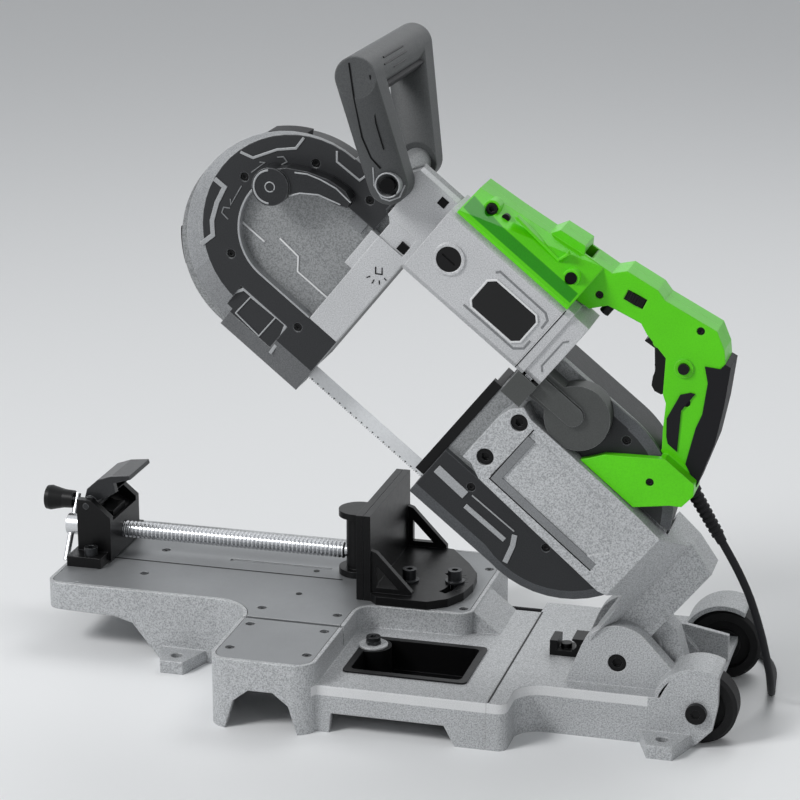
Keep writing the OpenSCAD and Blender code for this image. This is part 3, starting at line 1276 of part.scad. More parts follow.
module shell_front() {
  wedge_y = motor_front_y + 1;
  color(green) head() difference() {
    union() {
      difference() {
        slab(shell_y0, grip_mid_y) shell_outline();
        slab(shell_y0 + shell_t, grip_mid_y + 1) shell_inside();
      }
      shell_bosses(shell_y0 + 1, grip_mid_y);
      rod_y(trigger_pivot[0], trigger_pivot[1], 5, shell_y0 + 1, grip_mid_y - trigger_w / 2 - 0.6);
      // sloping cover over the motor
      difference() {
        hull() for (u = [-353, -235]) bar_x(u, u + 1)
          polygon([[motor_front_y, motor_w1 + slip_gap], [motor_front_y, motor_w1 + 3],
            [shell_y0, ridge_w(u)], [shell_y0 + 1, motor_w1 + slip_gap]]);
        bar_x(-349, -238) polygon([[wedge_y + 4, motor_w1 + 3], [shell_y0 - 4, 236], [shell_y0 - 4, motor_w1 + 3]]);
      }
      for (p = socket_screws) rod_y(p[0], p[1], 7, -24, shell_y0 + 1);
      slab(-24, rear_cover_face_y - slip_gap) foot_outline();
      difference() {
        slab(-20, grip_mid_y) intersection() {
          foot_outline();
          translate([-110, 120]) square([60, 60]);
        }
        slab(shell_y0, grip_mid_y + 1) shell_inside();
      }
      rod_y(button_at[0], button_at[1], 8, shell_y0 - 1.5, shell_y0 + 1);
    }
    shell_holes();
    rod_y(button_at[0], button_at[1], 4.6 + run_fit, shell_y0 - 2, shell_y0 + shell_t + 1);
    for (p = shell_screws) rod_y(p[0], p[1], 3.4, shell_y0 - 1, shell_y0 + 3.5);
    for (p = socket_screws) {
      rod_y(p[0], p[1], 2.5 + hole_gap, motor_front_y - 1, -11.5);
      rod_y(p[0], p[1], 4.9, motor_front_y - 1, -19.5);
    }
    rod_y(foot_screw[0], foot_screw[1], 1.6 + hole_gap, -25, -17.5);
    rod_y(foot_screw[0], foot_screw[1], 3.4, -25, -20.5);
    cord_way();
  }
}
module shell_rear() {
  color(green) head() difference() {
    union() {
      difference() {
        slab(grip_mid_y, shell_y1) shell_outline();
        slab(grip_mid_y - 1, shell_y1 - shell_t) shell_inside();
      }
      shell_bosses(grip_mid_y, shell_y1 - 1);
      rod_y(trigger_pivot[0], trigger_pivot[1], 5, grip_mid_y + trigger_w / 2 + 0.6, shell_y1 - 1);
    }
    shell_holes();
    cord_way();
  }
}
// Socket of the strain relief in the end of the handle
module cord_way() {
  rotate([0, -head_raise, 0]) translate([0, 0, -pivot_h]) translate(relief_a)
    rotate([0, relief_turn, 0]) {
      translate([0, 0, -9]) cylinder(h = 14, r = relief_d / 2 - 1.5 + hole_gap);
      cylinder(h = 14, r = relief_d / 2 + 1.5 + hole_gap);
    }
}
module rubber_grip() {
  color(black) head() {
    // pads let on to both faces of the handle
    for (y = [shell_y0 - 1.2, shell_y1]) slab(y, y + 1.2) {
      polygon([[-118, 222], [-113, 229], [-109.4, 231], [-108.5, 212], [-88, 183], [-98, 183],
        [-103, 187], [-113, 199]]);
      polygon([[-119, 254], [-107, 262], [-88, 235], [-73, 206], [-62, 174], [-76, 180], [-90, 209],
        [-94, 222], [-108, 245]]);
    }
    // back of the handle
    slab(shell_y0 - 1.2, shell_y1 + 1.2)
      polygon([[-108, 267], [-103, 268], [-85, 239], [-69.5, 209.5], [-56, 171], [-59, 170.6],
        [-62.6, 174], [-74, 208], [-89.3, 236.4], [-108.1, 258.8]]);
  }
}
module trigger() {
  color(black) head() {
    slab(grip_mid_y - trigger_w / 2, grip_mid_y + trigger_w / 2) difference() {
      polygon([[-169, 233], [-166, 249], [-152, 249], [-147, 238], [-127, 212], [-129, 207.5],
        [-135, 206], [-140, 208], [-150, 224], [-158.8, 234]]);
      translate([-158, 212]) circle(r = 14);
    }
    rod_y(trigger_pivot[0], trigger_pivot[1], 2.5, grip_mid_y - 11, grip_mid_y + 11);
  }
}
module lock_button() {
  color(black) head() {
    rod_y(button_at[0], button_at[1], 4.6, shell_y0 - 4, shell_y0 + 5);
    rod_y(button_at[0], button_at[1], 6.5, shell_y0 + shell_t + slip_gap, shell_y0 + 5);
  }
}
module speed_dial() {
  color(black) head() translate([dial_at[0], dial_y, dial_at[1]]) rotate([0, dial_tilt, 0]) {
    linear_extrude(dial_t, center = true) gear_outline(dial_r, 36, 0.6);
  }
}
module top_handle() {
  y0 = handle_mid_y - bar_w / 2;
  y1 = handle_mid_y + bar_w / 2;
  color("#3c3e40") head() difference() {
    union() {
      rod_y(bar_at[0], bar_at[1], bar_r, y0, y1);
      hull() {
        translate([bar_at[0], y0 + 24, bar_at[1]]) rotate([90, 0, 0]) cylinder(h = 24, r = bar_r, $fn = 32);
        translate([lug_at[0], lug_y0, lug_at[1]]) rotate([90, 0, 0]) cylinder(h = foot_t, r = 17, $fn = 32);
      }
      hull() {
        translate([bar_at[0], y1, bar_at[1]]) rotate([90, 0, 0]) cylinder(h = 24, r = bar_r, $fn = 32);
        translate([lug_at[0], lug_y1 + foot_t, lug_at[1]]) rotate([90, 0, 0])
          cylinder(h = foot_t, r = 17, $fn = 32);
      }
    }
    rod_y(lug_at[0], lug_at[1], handle_bolt_d / 2 + hole_gap, lug_y0 - foot_t - 1, lug_y1 + foot_t + 1);
  }
}
module bar_insert() {
  y0 = handle_mid_y - bar_w / 2 + 26;
  y1 = handle_mid_y + bar_w / 2 - 26;
  color(black) head() sector_y(bar_at[0], bar_at[1], bar_r, bar_r + 4, y0 + 4, y1 - 4, -120, 10);
}

// Power cord

module strain_relief() {
  len = norm(relief_b - relief_a);
  color(black) translate(relief_a) rotate([0, relief_turn, 0]) rotate_extrude() {
    translate([0, -8]) square([relief_d / 2 - 1.5, 9]);
    polygon([[0, 0], [relief_d / 2 + 1.5, 0], [relief_d / 2 + 1.5, 4], [relief_d / 2, 5],
      [cord_r + 0.8, len], [0, len]]);
    for (z = [8:5:len - 8]) translate([0, z])
      square([relief_d / 2 + 0.9 - (relief_d / 2 - cord_r - 0.8) * z / len, 2.4]);
  }
}
cord_path = spline(cord_route, 2);
module cord() {
  echo(cord_length = path_length(cord_path));
  color(black) tube(cord_path, cord_r, 10);
}
// Round coil in layers: the spiral runs in, climbs where it reverses and runs out again
turns_a_layer = coil_turns / coil_layers;
function coil_radius(t) = let (l = floor(t / turns_a_layer), p = t - l * turns_a_layer)
  coil_d / 2 - coil_step * (l % 2 == 0 ? p : turns_a_layer - p);
function coil_height(t) = coil_z + coil_step * (t < turns_a_layer / 2 ? 0 :
  let (l = round(t / turns_a_layer)) l >= coil_layers ? coil_layers - 1 :
  l - 1 + ease((t - l * turns_a_layer) * 2 + 0.5));
coil_path = concat(
  [[-226, 246, coil_z], [-233, 246, coil_z]],
  [for (i = [0:coil_turns * coil_rings - 1]) let (t = i / coil_rings, a = 270 - 360 * t, r = coil_radius(t))
    [coil_x + r * cos(a), coil_y + r * sin(a), coil_height(t)]],
  [[-240, 246, 27.1], [-251, 246, 27.1], [-262, 246, 26], [-272, 246, 23], [-282, 246, 18.5],
    [-292, 246, 15], [-301, 246, plug_z], [plug_x, 246, plug_z]]);
module cord_coil() {
  echo(coil_gap = least_gap(coil_path, 12, cord_d));
  echo(coil_length = path_length(coil_path));
  color(black) tube(coil_path, cord_r, 6);
}
module plug() {
  pin_y = 9.5;
  color(black) translate([plug_x, 246, plug_z]) rotate([0, -90, 0]) {
    rotate_extrude() polygon([[0, 0], [cord_r + 1.5, 0], [cord_r + 2, 12], [plug_r - 3, 20],
      [plug_r, 24], [plug_r, 46], [plug_r - 1.5, 48], [0, 48]]);
    for (s = [-1, 1]) translate([0, s * pin_y, 47]) cylinder(h = 20, r = 2.4);
  }
}

bed_casting();
bed_plate();
box_plate();
base_screws();
rear_casting();
chip_tray();
lock_hook();
pivot_pin();
return_spring();
wheel_axle();
front_transport_wheel();
rear_transport_wheel();
fixed_jaw();
moving_jaw();
lead_screw();
crank_handle();
crank_knob();
nut_block();
half_nut();
release_lever();
front_frame();
front_guard();
front_cover();
rear_frame();
rear_guard();
rear_cover();
head_screws();
bumpers();
swing_arm();
motor_housing();
motor_end_cap();
brush_caps();
label_plate();
stator();
armature();
gear_case();
layshaft();
crown_gear();
drive_wheel();
drive_tyre();
idler_wheel();
idler_tyre();
idler_slide();
tension_lever();
blade();
blade_guides();
guide_bearings();
work_stop();
shell_front();
shell_rear();
rubber_grip();
trigger();
lock_button();
speed_dial();
top_handle();
bar_insert();
strain_relief();
cord();
cord_coil();
plug();
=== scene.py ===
import math
import bmesh
import bpy
from mathutils import Matrix, Vector


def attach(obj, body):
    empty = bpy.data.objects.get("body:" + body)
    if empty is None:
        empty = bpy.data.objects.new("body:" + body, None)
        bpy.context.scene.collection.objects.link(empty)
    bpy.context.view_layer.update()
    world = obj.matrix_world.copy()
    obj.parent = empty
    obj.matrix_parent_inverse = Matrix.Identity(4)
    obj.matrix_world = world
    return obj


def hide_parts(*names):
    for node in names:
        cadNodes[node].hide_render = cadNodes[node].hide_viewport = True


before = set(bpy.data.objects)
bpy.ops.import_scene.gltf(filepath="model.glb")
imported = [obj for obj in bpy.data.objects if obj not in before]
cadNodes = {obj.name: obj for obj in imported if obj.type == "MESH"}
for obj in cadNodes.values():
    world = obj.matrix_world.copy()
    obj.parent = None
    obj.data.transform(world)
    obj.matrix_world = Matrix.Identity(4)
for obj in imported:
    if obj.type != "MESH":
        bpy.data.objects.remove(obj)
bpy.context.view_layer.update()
scene = bpy.context.scene
mm = 0.001
print("frame loaded")

# The saw head is drawn lowered, then raised about the tilt pivot, as in the source
headRaise = math.radians(39.15)
pivotHeight = 0.064
headMatrix = Matrix.Translation((0, 0, pivotHeight)) @ Matrix.Rotation(headRaise, 4, "Y")

# Camera at the photograph's angle

cameraSetup = {"place": (0.3745, -2.0720, 0.9404), "elevation": 17.0, "azimuth": 15.3,
               "lens": 119.07, "sensor": 36, "farClip": 50}
cameraData = bpy.data.cameras.new("camera")
cameraData.lens = cameraSetup["lens"]
cameraData.sensor_width = cameraSetup["sensor"]
cameraData.clip_end = cameraSetup["farClip"]
camera = bpy.data.objects.new("camera", cameraData)
camera.location = cameraSetup["place"]
camera.rotation_euler = (math.radians(90 - cameraSetup["elevation"]), 0,
                         math.radians(cameraSetup["azimuth"]))
scene.collection.objects.link(camera)
scene.camera = camera
scene.view_settings.view_transform = "Standard"


# Shader nodes

def addSocket(group, name, kind, way, value=None):
    socket = group.interface.new_socket(name=name, in_out=way, socket_type=kind)
    if value is not None:
        socket.default_value = value


def feed(tree, socket, value):
    # a number or a colour is set on the socket, another node's output is linked to it
    if isinstance(value, (int, float, tuple)):
        socket.default_value = value
    else:
        tree.links.new(value, socket)


def mathNode(tree, operation, *values, clamp=False):
    node = tree.nodes.new("ShaderNodeMath")
    node.operation = operation
    node.use_clamp = clamp
    for i, value in enumerate(values):
        feed(tree, node.inputs[i], value)
    return node.outputs[0]


def mixColour(tree, factor, a, b, blend="MIX"):
    # a Mix node set to colours takes them at inputs 6 and 7 and gives its result at output 2
    node = tree.nodes.new("ShaderNodeMix")
    node.data_type = "RGBA"
    node.blend_type = blend
    for i, value in ((0, factor), (6, a), (7, b)):
        feed(tree, node.inputs[i], value)
    return node.outputs[2]


def noiseNode(tree, vector, scale, detail, rough):
    node = tree.nodes.new("ShaderNodeTexNoise")
    tree.links.new(vector, node.inputs["Vector"])
    feed(tree, node.inputs["Scale"], scale)
    node.inputs["Detail"].default_value = detail
    node.inputs["Roughness"].default_value = rough
    return node.outputs["Fac"]


def rangeNode(tree, value, low, high, outLow=0.0, outHigh=1.0):
    node = tree.nodes.new("ShaderNodeMapRange")
    tree.links.new(value, node.inputs[0])
    for i, number in enumerate((low, high, outLow, outHigh)):
        node.inputs[i + 1].default_value = number
    return node.outputs[0]


# What every finish shares: a noise has its detail and roughness, after its scale where that is fixed,
# and a range has the values that become black and white, then the outcome's own limits if not 0 and 1

finishSetup = {"grain": (4.0, 0.65), "cloud": (14.0, 3.0, 0.55), "scratch": (160.0, 5.0, 0.7),
               "specks": (0.42, 0.62), "edges": (0.995, 0.86), "breaks": (0.34, 0.62, 0.35, 1.0),
               "edgeSamples": 4, "bumpStrength": 0.6, "roughSpread": 0.12, "cloudAmount": 0.15}
colourSockets = {"base": "Base", "speck": "Speck", "edge": "Edge"}
amountSockets = {"rough": "Rough", "speckAmount": "Speck Amount", "grainScale": "Grain Scale",
                 "grainDepth": "Grain Depth", "edgeAmount": "Edge Amount", "edgeRadius": "Edge Radius"}


def makeFinishGroup(v):
    # grain, clouds of tone, soft edges, and lighter edges as wear and painted highlight, shared by every
    # finish
    group = bpy.data.node_groups.new("finishGroup", "ShaderNodeTree")
    for name in colourSockets.values():
        addSocket(group, name, "NodeSocketColor", "INPUT")
    for name in amountSockets.values():
        addSocket(group, name, "NodeSocketFloat", "INPUT")
    addSocket(group, "Rough Spread", "NodeSocketFloat", "INPUT", v["roughSpread"])
    addSocket(group, "Cloud Amount", "NodeSocketFloat", "INPUT", v["cloudAmount"])
    addSocket(group, "Colour", "NodeSocketColor", "OUTPUT")
    addSocket(group, "Rough", "NodeSocketFloat", "OUTPUT")
    addSocket(group, "Normal", "NodeSocketVector", "OUTPUT")
    source = group.nodes.new("NodeGroupInput")
    result = group.nodes.new("NodeGroupOutput")
    coords = group.nodes.new("ShaderNodeTexCoord").outputs["Object"]
    grain = noiseNode(group, coords, source.outputs["Grain Scale"], *v["grain"])
    cloud = noiseNode(group, coords, *v["cloud"])
    scratch = noiseNode(group, coords, *v["scratch"])
    specks = rangeNode(group, grain, *v["specks"])
    specks = mathNode(group, "MULTIPLY", specks, source.outputs["Speck Amount"])
    colour = mixColour(group, specks, source.outputs["Base"], source.outputs["Speck"])
    shade = mathNode(group, "SUBTRACT", cloud, 0.5)
    shade = mathNode(group, "MULTIPLY_ADD", shade, source.outputs["Cloud Amount"], 0.5)
    tone = rangeNode(group, shade, 0.0, 1.0, 0.0, 2.0)
    grey = group.nodes.new("ShaderNodeCombineColor")
    for socket in grey.inputs:
        group.links.new(tone, socket)
    colour = mixColour(group, 1.0, colour, grey.outputs[0], "MULTIPLY")
    bevel = group.nodes.new("ShaderNodeBevel")
    bevel.samples = v["edgeSamples"]
    group.links.new(source.outputs["Edge Radius"], bevel.inputs["Radius"])
    geometry = group.nodes.new("ShaderNodeNewGeometry")
    dot = group.nodes.new("ShaderNodeVectorMath")
    dot.operation = "DOT_PRODUCT"
    group.links.new(bevel.outputs[0], dot.inputs[0])
    group.links.new(geometry.outputs["Normal"], dot.inputs[1])
    edge = rangeNode(group, dot.outputs["Value"], *v["edges"])
    edge = mathNode(group, "MULTIPLY", edge, rangeNode(group, scratch, *v["breaks"]))
    edge = mathNode(group, "MULTIPLY", edge, source.outputs["Edge Amount"], clamp=True)
    # the lighter edge colour is partly wear and partly a painted highlight on the bevels
    colour = mixColour(group, edge, colour, source.outputs["Edge"])
    rough = mathNode(group, "SUBTRACT", scratch, 0.5)
    rough = mathNode(group, "MULTIPLY", rough, source.outputs["Rough Spread"])
    rough = mathNode(group, "ADD", source.outputs["Rough"], rough, clamp=True)
    bump = group.nodes.new("ShaderNodeBump")
    bump.inputs["Strength"].default_value = v["bumpStrength"]
    group.links.new(source.outputs["Grain Depth"], bump.inputs["Distance"])
    group.links.new(grain, bump.inputs["Height"])
    group.links.new(bevel.outputs[0], bump.inputs["Normal"])
    group.links.new(colour, result.inputs["Colour"])
    group.links.new(rough, result.inputs["Rough"])
    group.links.new(bump.outputs[0], result.inputs["Normal"])
    return group


finishGroup = makeFinishGroup(finishSetup)

# Finishes: three colours, metallic and rough, then the speck's amount, the grain's scale and depth,
# and the lighter edge's amount and radius (wear and painted highlight), in the order of the keys

finishKeys = ("base", "speck", "edge", "metallic", "rough",
              "speckAmount", "grainScale", "grainDepth", "edgeAmount", "edgeRadius")
finishRows = {
    "castGrey": ("#bec0c2", "#737577", "#dcdddd", 0.25, 0.48, 0.7, 820, 0.00022, 0.4, 0.0016),
    "motorGrey": ("#c4c5c7", "#8f9193", "#e4e5e5", 0.3, 0.44, 0.6, 1000, 0.00018, 0.5, 0.0012),
    "plateGrey": ("#8d8f91", "#6c6e70", "#bfc1c2", 0.5, 0.44, 0.5, 1500, 0.0001, 0.75, 0.0008),
    # the next finish is painted shade for the recessed web of the frame
    "webShadeGrey": ("#929495", "#5f6163", "#c2c3c4", 0.3, 0.5, 0.75, 820, 0.0002, 0.5, 0.001),
    "paleGrey": ("#d9dadb", "#b9babb", "#f0f0f0", 0.25, 0.42, 0.4, 1000, 0.0001, 0.5, 0.0005),
    # the next finish is a painted highlight, for raised strips along edges and rims
    "highlightGrey": ("#a4a6a8", "#7c7e80", "#dadbdc", 0.3, 0.44, 0.5, 1000, 0.0001, 0.7, 0.0005),
    "shadeGrey": ("#7e8082", "#5f6163", "#a9abac", 0.25, 0.5, 0.6, 820, 0.0002, 0.3, 0.0005),
    "jet": ("#060607", "#0d0d0e", "#2c2d2f", 0.0, 0.3, 0.3, 900, 0.00002, 0.3, 0.0004),
    "charcoal": ("#2b2c2e", "#1f2022", "#7e8082", 0.2, 0.45, 0.6, 1000, 0.00018, 0.75, 0.0014),
    # the next two finishes are painted highlights on the slopes of the covers
    "rimHighlightGrey": ("#9a9c9e", "#65676a", "#d6d7d8", 0.25, 0.48, 0.6, 1000, 0.0002, 0.6, 0.0012),
    "rearRimHighlight": ("#55575a", "#36383a", "#9c9ea0", 0.25, 0.46, 0.6, 1000, 0.0002, 0.7, 0.0012),
    "bladeSteel": ("#d6d8da", "#bdbfc1", "#ececed", 0.35, 0.34, 0.3, 600, 0.00002, 0.3, 0.0002),
    "handleGrey": ("#464849", "#2b2c2e", "#97999b", 0.1, 0.52, 0.55, 1200, 0.0002, 0.5, 0.002),
    "discGrey": ("#474948", "#343635", "#a9abad", 0.25, 0.46, 0.5, 1200, 0.00016, 0.6, 0.001),
    "blackMetal": ("#0a0a0b", "#131314", "#4a4c4e", 0.3, 0.36, 0.5, 900, 0.00008, 0.45, 0.0007),
    "blackPlastic": ("#0a0a0b", "#121213", "#3f4143", 0.0, 0.38, 0.5, 1400, 0.00005, 0.3, 0.0006),
    "leverMetal": ("#2b2c2e", "#191a1b", "#8c8e90", 0.4, 0.34, 0.4, 900, 0.00006, 0.7, 0.0012),
    "rubber": ("#0d0d10", "#1a191f", "#2a2930", 0.0, 0.55, 0.5, 1600, 0.00012, 0.35, 0.001),
    "brightSteel": ("#cccdcf", "#a3a5a8", "#e2e3e4", 0.95, 0.26, 0.3, 700, 0.00003, 0.5, 0.0005),
    "darkSteel": ("#3a3b3d", "#242527", "#7f8183", 0.85, 0.34, 0.4, 800, 0.00004, 0.5, 0.0005),
    "green": ("#5bd20e", "#4fbf0b", "#a5f06e", 0.0, 0.3, 0.45, 900, 0.00004, 0.35, 0.0014),
    # the next finish is painted shade for the ledge of the green shell
    "greenPaintedShade": ("#259205", "#1f8004", "#53b524", 0.0, 0.4, 0.5, 900, 0.00006, 0.3, 0.0008),
    "tyreRubber": ("#0e0e0f", "#1a1a1b", "#3b3b3d", 0.0, 0.58, 0.5, 1100, 0.00012, 0.4, 0.001),
    "wheelAlloy": ("#a9abad", "#868889", "#d5d6d7", 0.75, 0.38, 0.45, 900, 0.0001, 0.5, 0.0008),
    "labelBlack": ("#0c0c0d", "#151516", "#3a3b3d", 0.0, 0.18, 0.3, 500, 0.00001, 0.4, 0.0006),
}
finishes = {name: dict(zip(finishKeys, row)) for name, row in finishRows.items()}
# by material name: a clear coat, and the mirrored light where it is less than 0.5
coats = {"green": 0.08, "shellFrontWithShade": 0.08, "labelBlack": 0.2, "leverMetal": 0.1}
dullness = {"jet": 0.12, "rubber": 0.2, "blackPlastic": 0.2, "blackMetal": 0.25, "labelBlack": 0.2,
            "charcoal": 0.3, "coverPaint": 0.35, "rearPaint": 0.3, "tyreRubber": 0.2, "leverMetal": 0.3,
            "green": 0.22, "shellFrontWithShade": 0.22}
materials = {}


def srgb(code):
    parts = [int(code[i:i + 2], 16) / 255 for i in (1, 3, 5)]
    return tuple(p / 12.92 if p < 0.04045 else ((p + 0.055) / 1.055) ** 2.4 for p in parts) + (1.0,)


def placeFinish(tree, values):
    node = tree.nodes.new("ShaderNodeGroup")
    node.node_tree = finishGroup
    for key, name in colourSockets.items():
        node.inputs[name].default_value = srgb(values[key])
    for key, name in amountSockets.items():
        node.inputs[name].default_value = values[key]
    return node


def makeMaterial(name, finish):
    material = bpy.data.materials.new(name)
    material.use_nodes = True
    tree = material.node_tree
    shader = tree.nodes["Principled BSDF"]
    node = placeFinish(tree, finishes[finish])
    tree.links.new(node.outputs["Colour"], shader.inputs["Base Color"])
    tree.links.new(node.outputs["Rough"], shader.inputs["Roughness"])
    tree.links.new(node.outputs["Normal"], shader.inputs["Normal"])
    shader.inputs["Metallic"].default_value = finishes[finish]["metallic"]
    shader.inputs["Coat Weight"].default_value = coats.get(name, 0.0)
    shader.inputs["Specular IOR Level"].default_value = dullness.get(name, 0.5)
    materials[name] = material
    return tree


for finishName in finishes:
    makeMaterial(finishName, finishName)


# Painted light and shade as a second finish on part of a solid; limits in mm, with a soft step at each

softStep = 0.3


def splitCoords(tree, kind):
    coords = tree.nodes.new("ShaderNodeTexCoord")
    split = tree.nodes.new("ShaderNodeSeparateXYZ")
    tree.links.new(coords.outputs[kind], split.inputs[0])
    return split.outputs


def paintOver(tree, mask, finish):
    # the colour of another finish where the mask is white
    baseColour = tree.nodes["Principled BSDF"].inputs["Base Color"]
    other = placeFinish(tree, finishes[finish])
    colour = mixColour(tree, mask, baseColour.links[0].from_socket, other.outputs["Colour"])
    tree.links.new(colour, baseColour)


def bandMask(tree, value, limits):
    # white between two limits
    low, high = limits
    rise = rangeNode(tree, value, (low - softStep) * mm, (low + softStep) * mm)
    fall = rangeNode(tree, value, (high + softStep) * mm, (high - softStep) * mm)
    return mathNode(tree, "MULTIPLY", rise, fall)


# the lighter slopes round the covers' faces are a painted highlight
coverSlopeHighlights = {"face": "charcoal", "sides": {"coverPaint": "rimHighlightGrey", "rearPaint": "rearRimHighlight"},
               "slope": (0.985, 0.95)}


def makeCoverSlopeHighlights(v):
    # one finish on faces that look along Y, and a lighter one on the slopes round them as a painted
    # highlight
    for name, side in v["sides"].items():
        tree = makeMaterial(name, v["face"])
        facing = mathNode(tree, "ABSOLUTE", splitCoords(tree, "Normal")["Y"])
        paintOver(tree, rangeNode(tree, facing, *v["slope"]), side)


makeCoverSlopeHighlights(coverSlopeHighlights)

# a darker green band on the shell's ledge, painted shade
shellLedgeShade = {"face": "green", "shade": "greenPaintedShade", "u": (-352, -236), "w": (228.6, 236.4)}


def headCoordinate(tree, along, shift):
    # a length along the lowered head, from the raised place the solid is in
    dot = tree.nodes.new("ShaderNodeVectorMath")
    dot.operation = "DOT_PRODUCT"
    tree.links.new(tree.nodes.new("ShaderNodeTexCoord").outputs["Object"], dot.inputs[0])
    dot.inputs[1].default_value = along
    return mathNode(tree, "ADD", dot.outputs["Value"], shift)


def makeShellLedgeShade(name, v):
    # painted shade on the ledge of the green shell, between limits in u and w of the lowered head
    tree = makeMaterial(name, v["face"])
    c, s = math.cos(headRaise), math.sin(headRaise)
    u = headCoordinate(tree, (c, 0, -s), s * pivotHeight)
    w = headCoordinate(tree, (s, 0, c), -c * pivotHeight)
    mask = mathNode(tree, "MULTIPLY", bandMask(tree, u, v["u"]), bandMask(tree, w, v["w"]))
    paintOver(tree, mask, v["shade"])


makeShellLedgeShade("shellFrontWithShade", shellLedgeShade)

# the darker recessed web is painted shade
frameWithWebShade = {"face": "motorGrey", "web": "webShadeGrey", "depths": (-13, -11)}


def makeFrameWebShade(name, v):
    # painted shade: the recessed web of the frame is darker than its raised bars
    tree = makeMaterial(name, v["face"])
    low, high = v["depths"]
    paintOver(tree, rangeNode(tree, splitCoords(tree, "Object")["Y"], low * mm, high * mm), v["web"])


makeFrameWebShade("frameWithWebShade", frameWithWebShade)

# the paler band on the castings is a painted highlight
castWithTopHighlight = {"face": "castGrey", "rim": "paleGrey",
             "bands": (((-252, -97), (-80, -50), (34, 42.7)), ((-97, 30), (-80, 6), (34, 42.7)))}


def makeCastTopHighlight(name, v):
    # a painted highlight: a paler band along the front edge of the castings, as limits in X, Y and Z
    tree = makeMaterial(name, v["face"])
    split = splitCoords(tree, "Object")
    for band in v["bands"]:
        mask = 1.0
        for axis, limits in zip("XYZ", band):
            mask = mathNode(tree, "MULTIPLY", bandMask(tree, split[axis], limits), mask)
        paintOver(tree, mask, v["rim"])


makeCastTopHighlight("castWithTopHighlight", castWithTopHighlight)
print("finishes made")

# Which nodes have each finish or paint

nodeFinish = {
    "castGrey": "swing_arm",
    "castWithTopHighlight": "bed_casting rear_casting",
    "motorGrey": "motor_housing motor_end_cap",
    "frameWithWebShade": "front_frame rear_frame",
    "plateGrey": "bed_plate box_plate",
    "coverPaint": "front_cover",
    "rearPaint": "rear_cover",
    "bladeSteel": "blade",
    "charcoal": "front_guard rear_guard",
    "handleGrey": "top_handle",
    "discGrey": "gear_case",
    "blackMetal": "pivot_pin wheel_axle chip_tray lock_hook fixed_jaw moving_jaw nut_block half_nut "
                  "work_stop blade_guides head_screws",
    "blackPlastic": "crank_knob speed_dial trigger lock_button brush_caps plug cord",
    "leverMetal": "tension_lever release_lever",
    "rubber": "bumpers rubber_grip bar_insert strain_relief cord_coil",
    "brightSteel": "lead_screw crank_handle guide_bearings layshaft crown_gear idler_slide",
    "darkSteel": "return_spring armature stator base_screws",
    "green": "shell_rear",
    "shellFrontWithShade": "shell_front",
    "tyreRubber": "front_transport_wheel rear_transport_wheel drive_tyre idler_tyre",
    "wheelAlloy": "drive_wheel idler_wheel",
    "labelBlack": "label_plate",
}
for paintName, names in nodeFinish.items():
    for name in names.split():
        cadObject = cadNodes[name]
        if not cadObject.material_slots:
            cadObject.data.materials.append(materials[paintName])
        for slot in cadObject.material_slots:
            slot.material = materials[paintName]
print("solids painted")


# Helpers for new pieces, which are all drawn in mm

shaping = {"bevelSegments": 2, "sharpAngle": 1.0, "barOverlap": 0.6, "leastAcross": 0.1,
           "mitreLimit": 0.5, "levelError": 1e-6, "sectorSteps": 24, "discSegments": 40}


def finishPiece(name, mesh, finish, body):
    # a piece on the head is drawn with the head lowered
    bmesh.ops.scale(mesh, vec=(mm, mm, mm), verts=mesh.verts)
    if body != "base":
        bmesh.ops.transform(mesh, matrix=headMatrix, verts=mesh.verts)
    bmesh.ops.recalc_face_normals(mesh, faces=mesh.faces)
    data = bpy.data.meshes.new(name)
    mesh.to_mesh(data)
    mesh.free()
    data.materials.append(materials[finish])
    piece = bpy.data.objects.new(name, data)
    scene.collection.objects.link(piece)
    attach(piece, body)


def bevelEdges(mesh, edges, offset):
    bmesh.ops.bevel(mesh, geom=edges, offset=offset, affect="EDGES", segments=shaping["bevelSegments"],
                    profile=0.5, material=-1)


def sharpEdges(faces):
    return [edge for edge in {e for face in faces for e in face.edges}
            if len(edge.link_faces) == 2 and edge.calc_face_angle(0) > shaping["sharpAngle"]]


def addBar(mesh, a, b, width, depth, bevel):
    # a bar that runs a little past two points, with its width across the run and its depth mostly
    # along Y; a run that is itself along Y has its width along Z
    a, b = Vector(a), Vector(b)
    along = (b - a).normalized()
    across = along.cross(Vector((0, 1, 0)))
    across = across.normalized() if across.length > shaping["leastAcross"] else Vector((0, 0, 1))
    turn = Matrix((along, across.cross(along), across)).transposed().to_4x4()
    length = (b - a).length + width * shaping["barOverlap"]
    matrix = Matrix.Translation((a + b) / 2) @ turn @ Matrix.Diagonal((length, depth, width, 1))
    made = bmesh.ops.create_cube(mesh, size=1.0, matrix=matrix)
    if bevel > 0:
        bevelEdges(mesh, list({edge for vert in made["verts"] for edge in vert.link_edges}), bevel)


def addBars(mesh, points, width, depth):
    for a, b in zip(points, points[1:]):
        addBar(mesh, a, b, width, depth, 0)


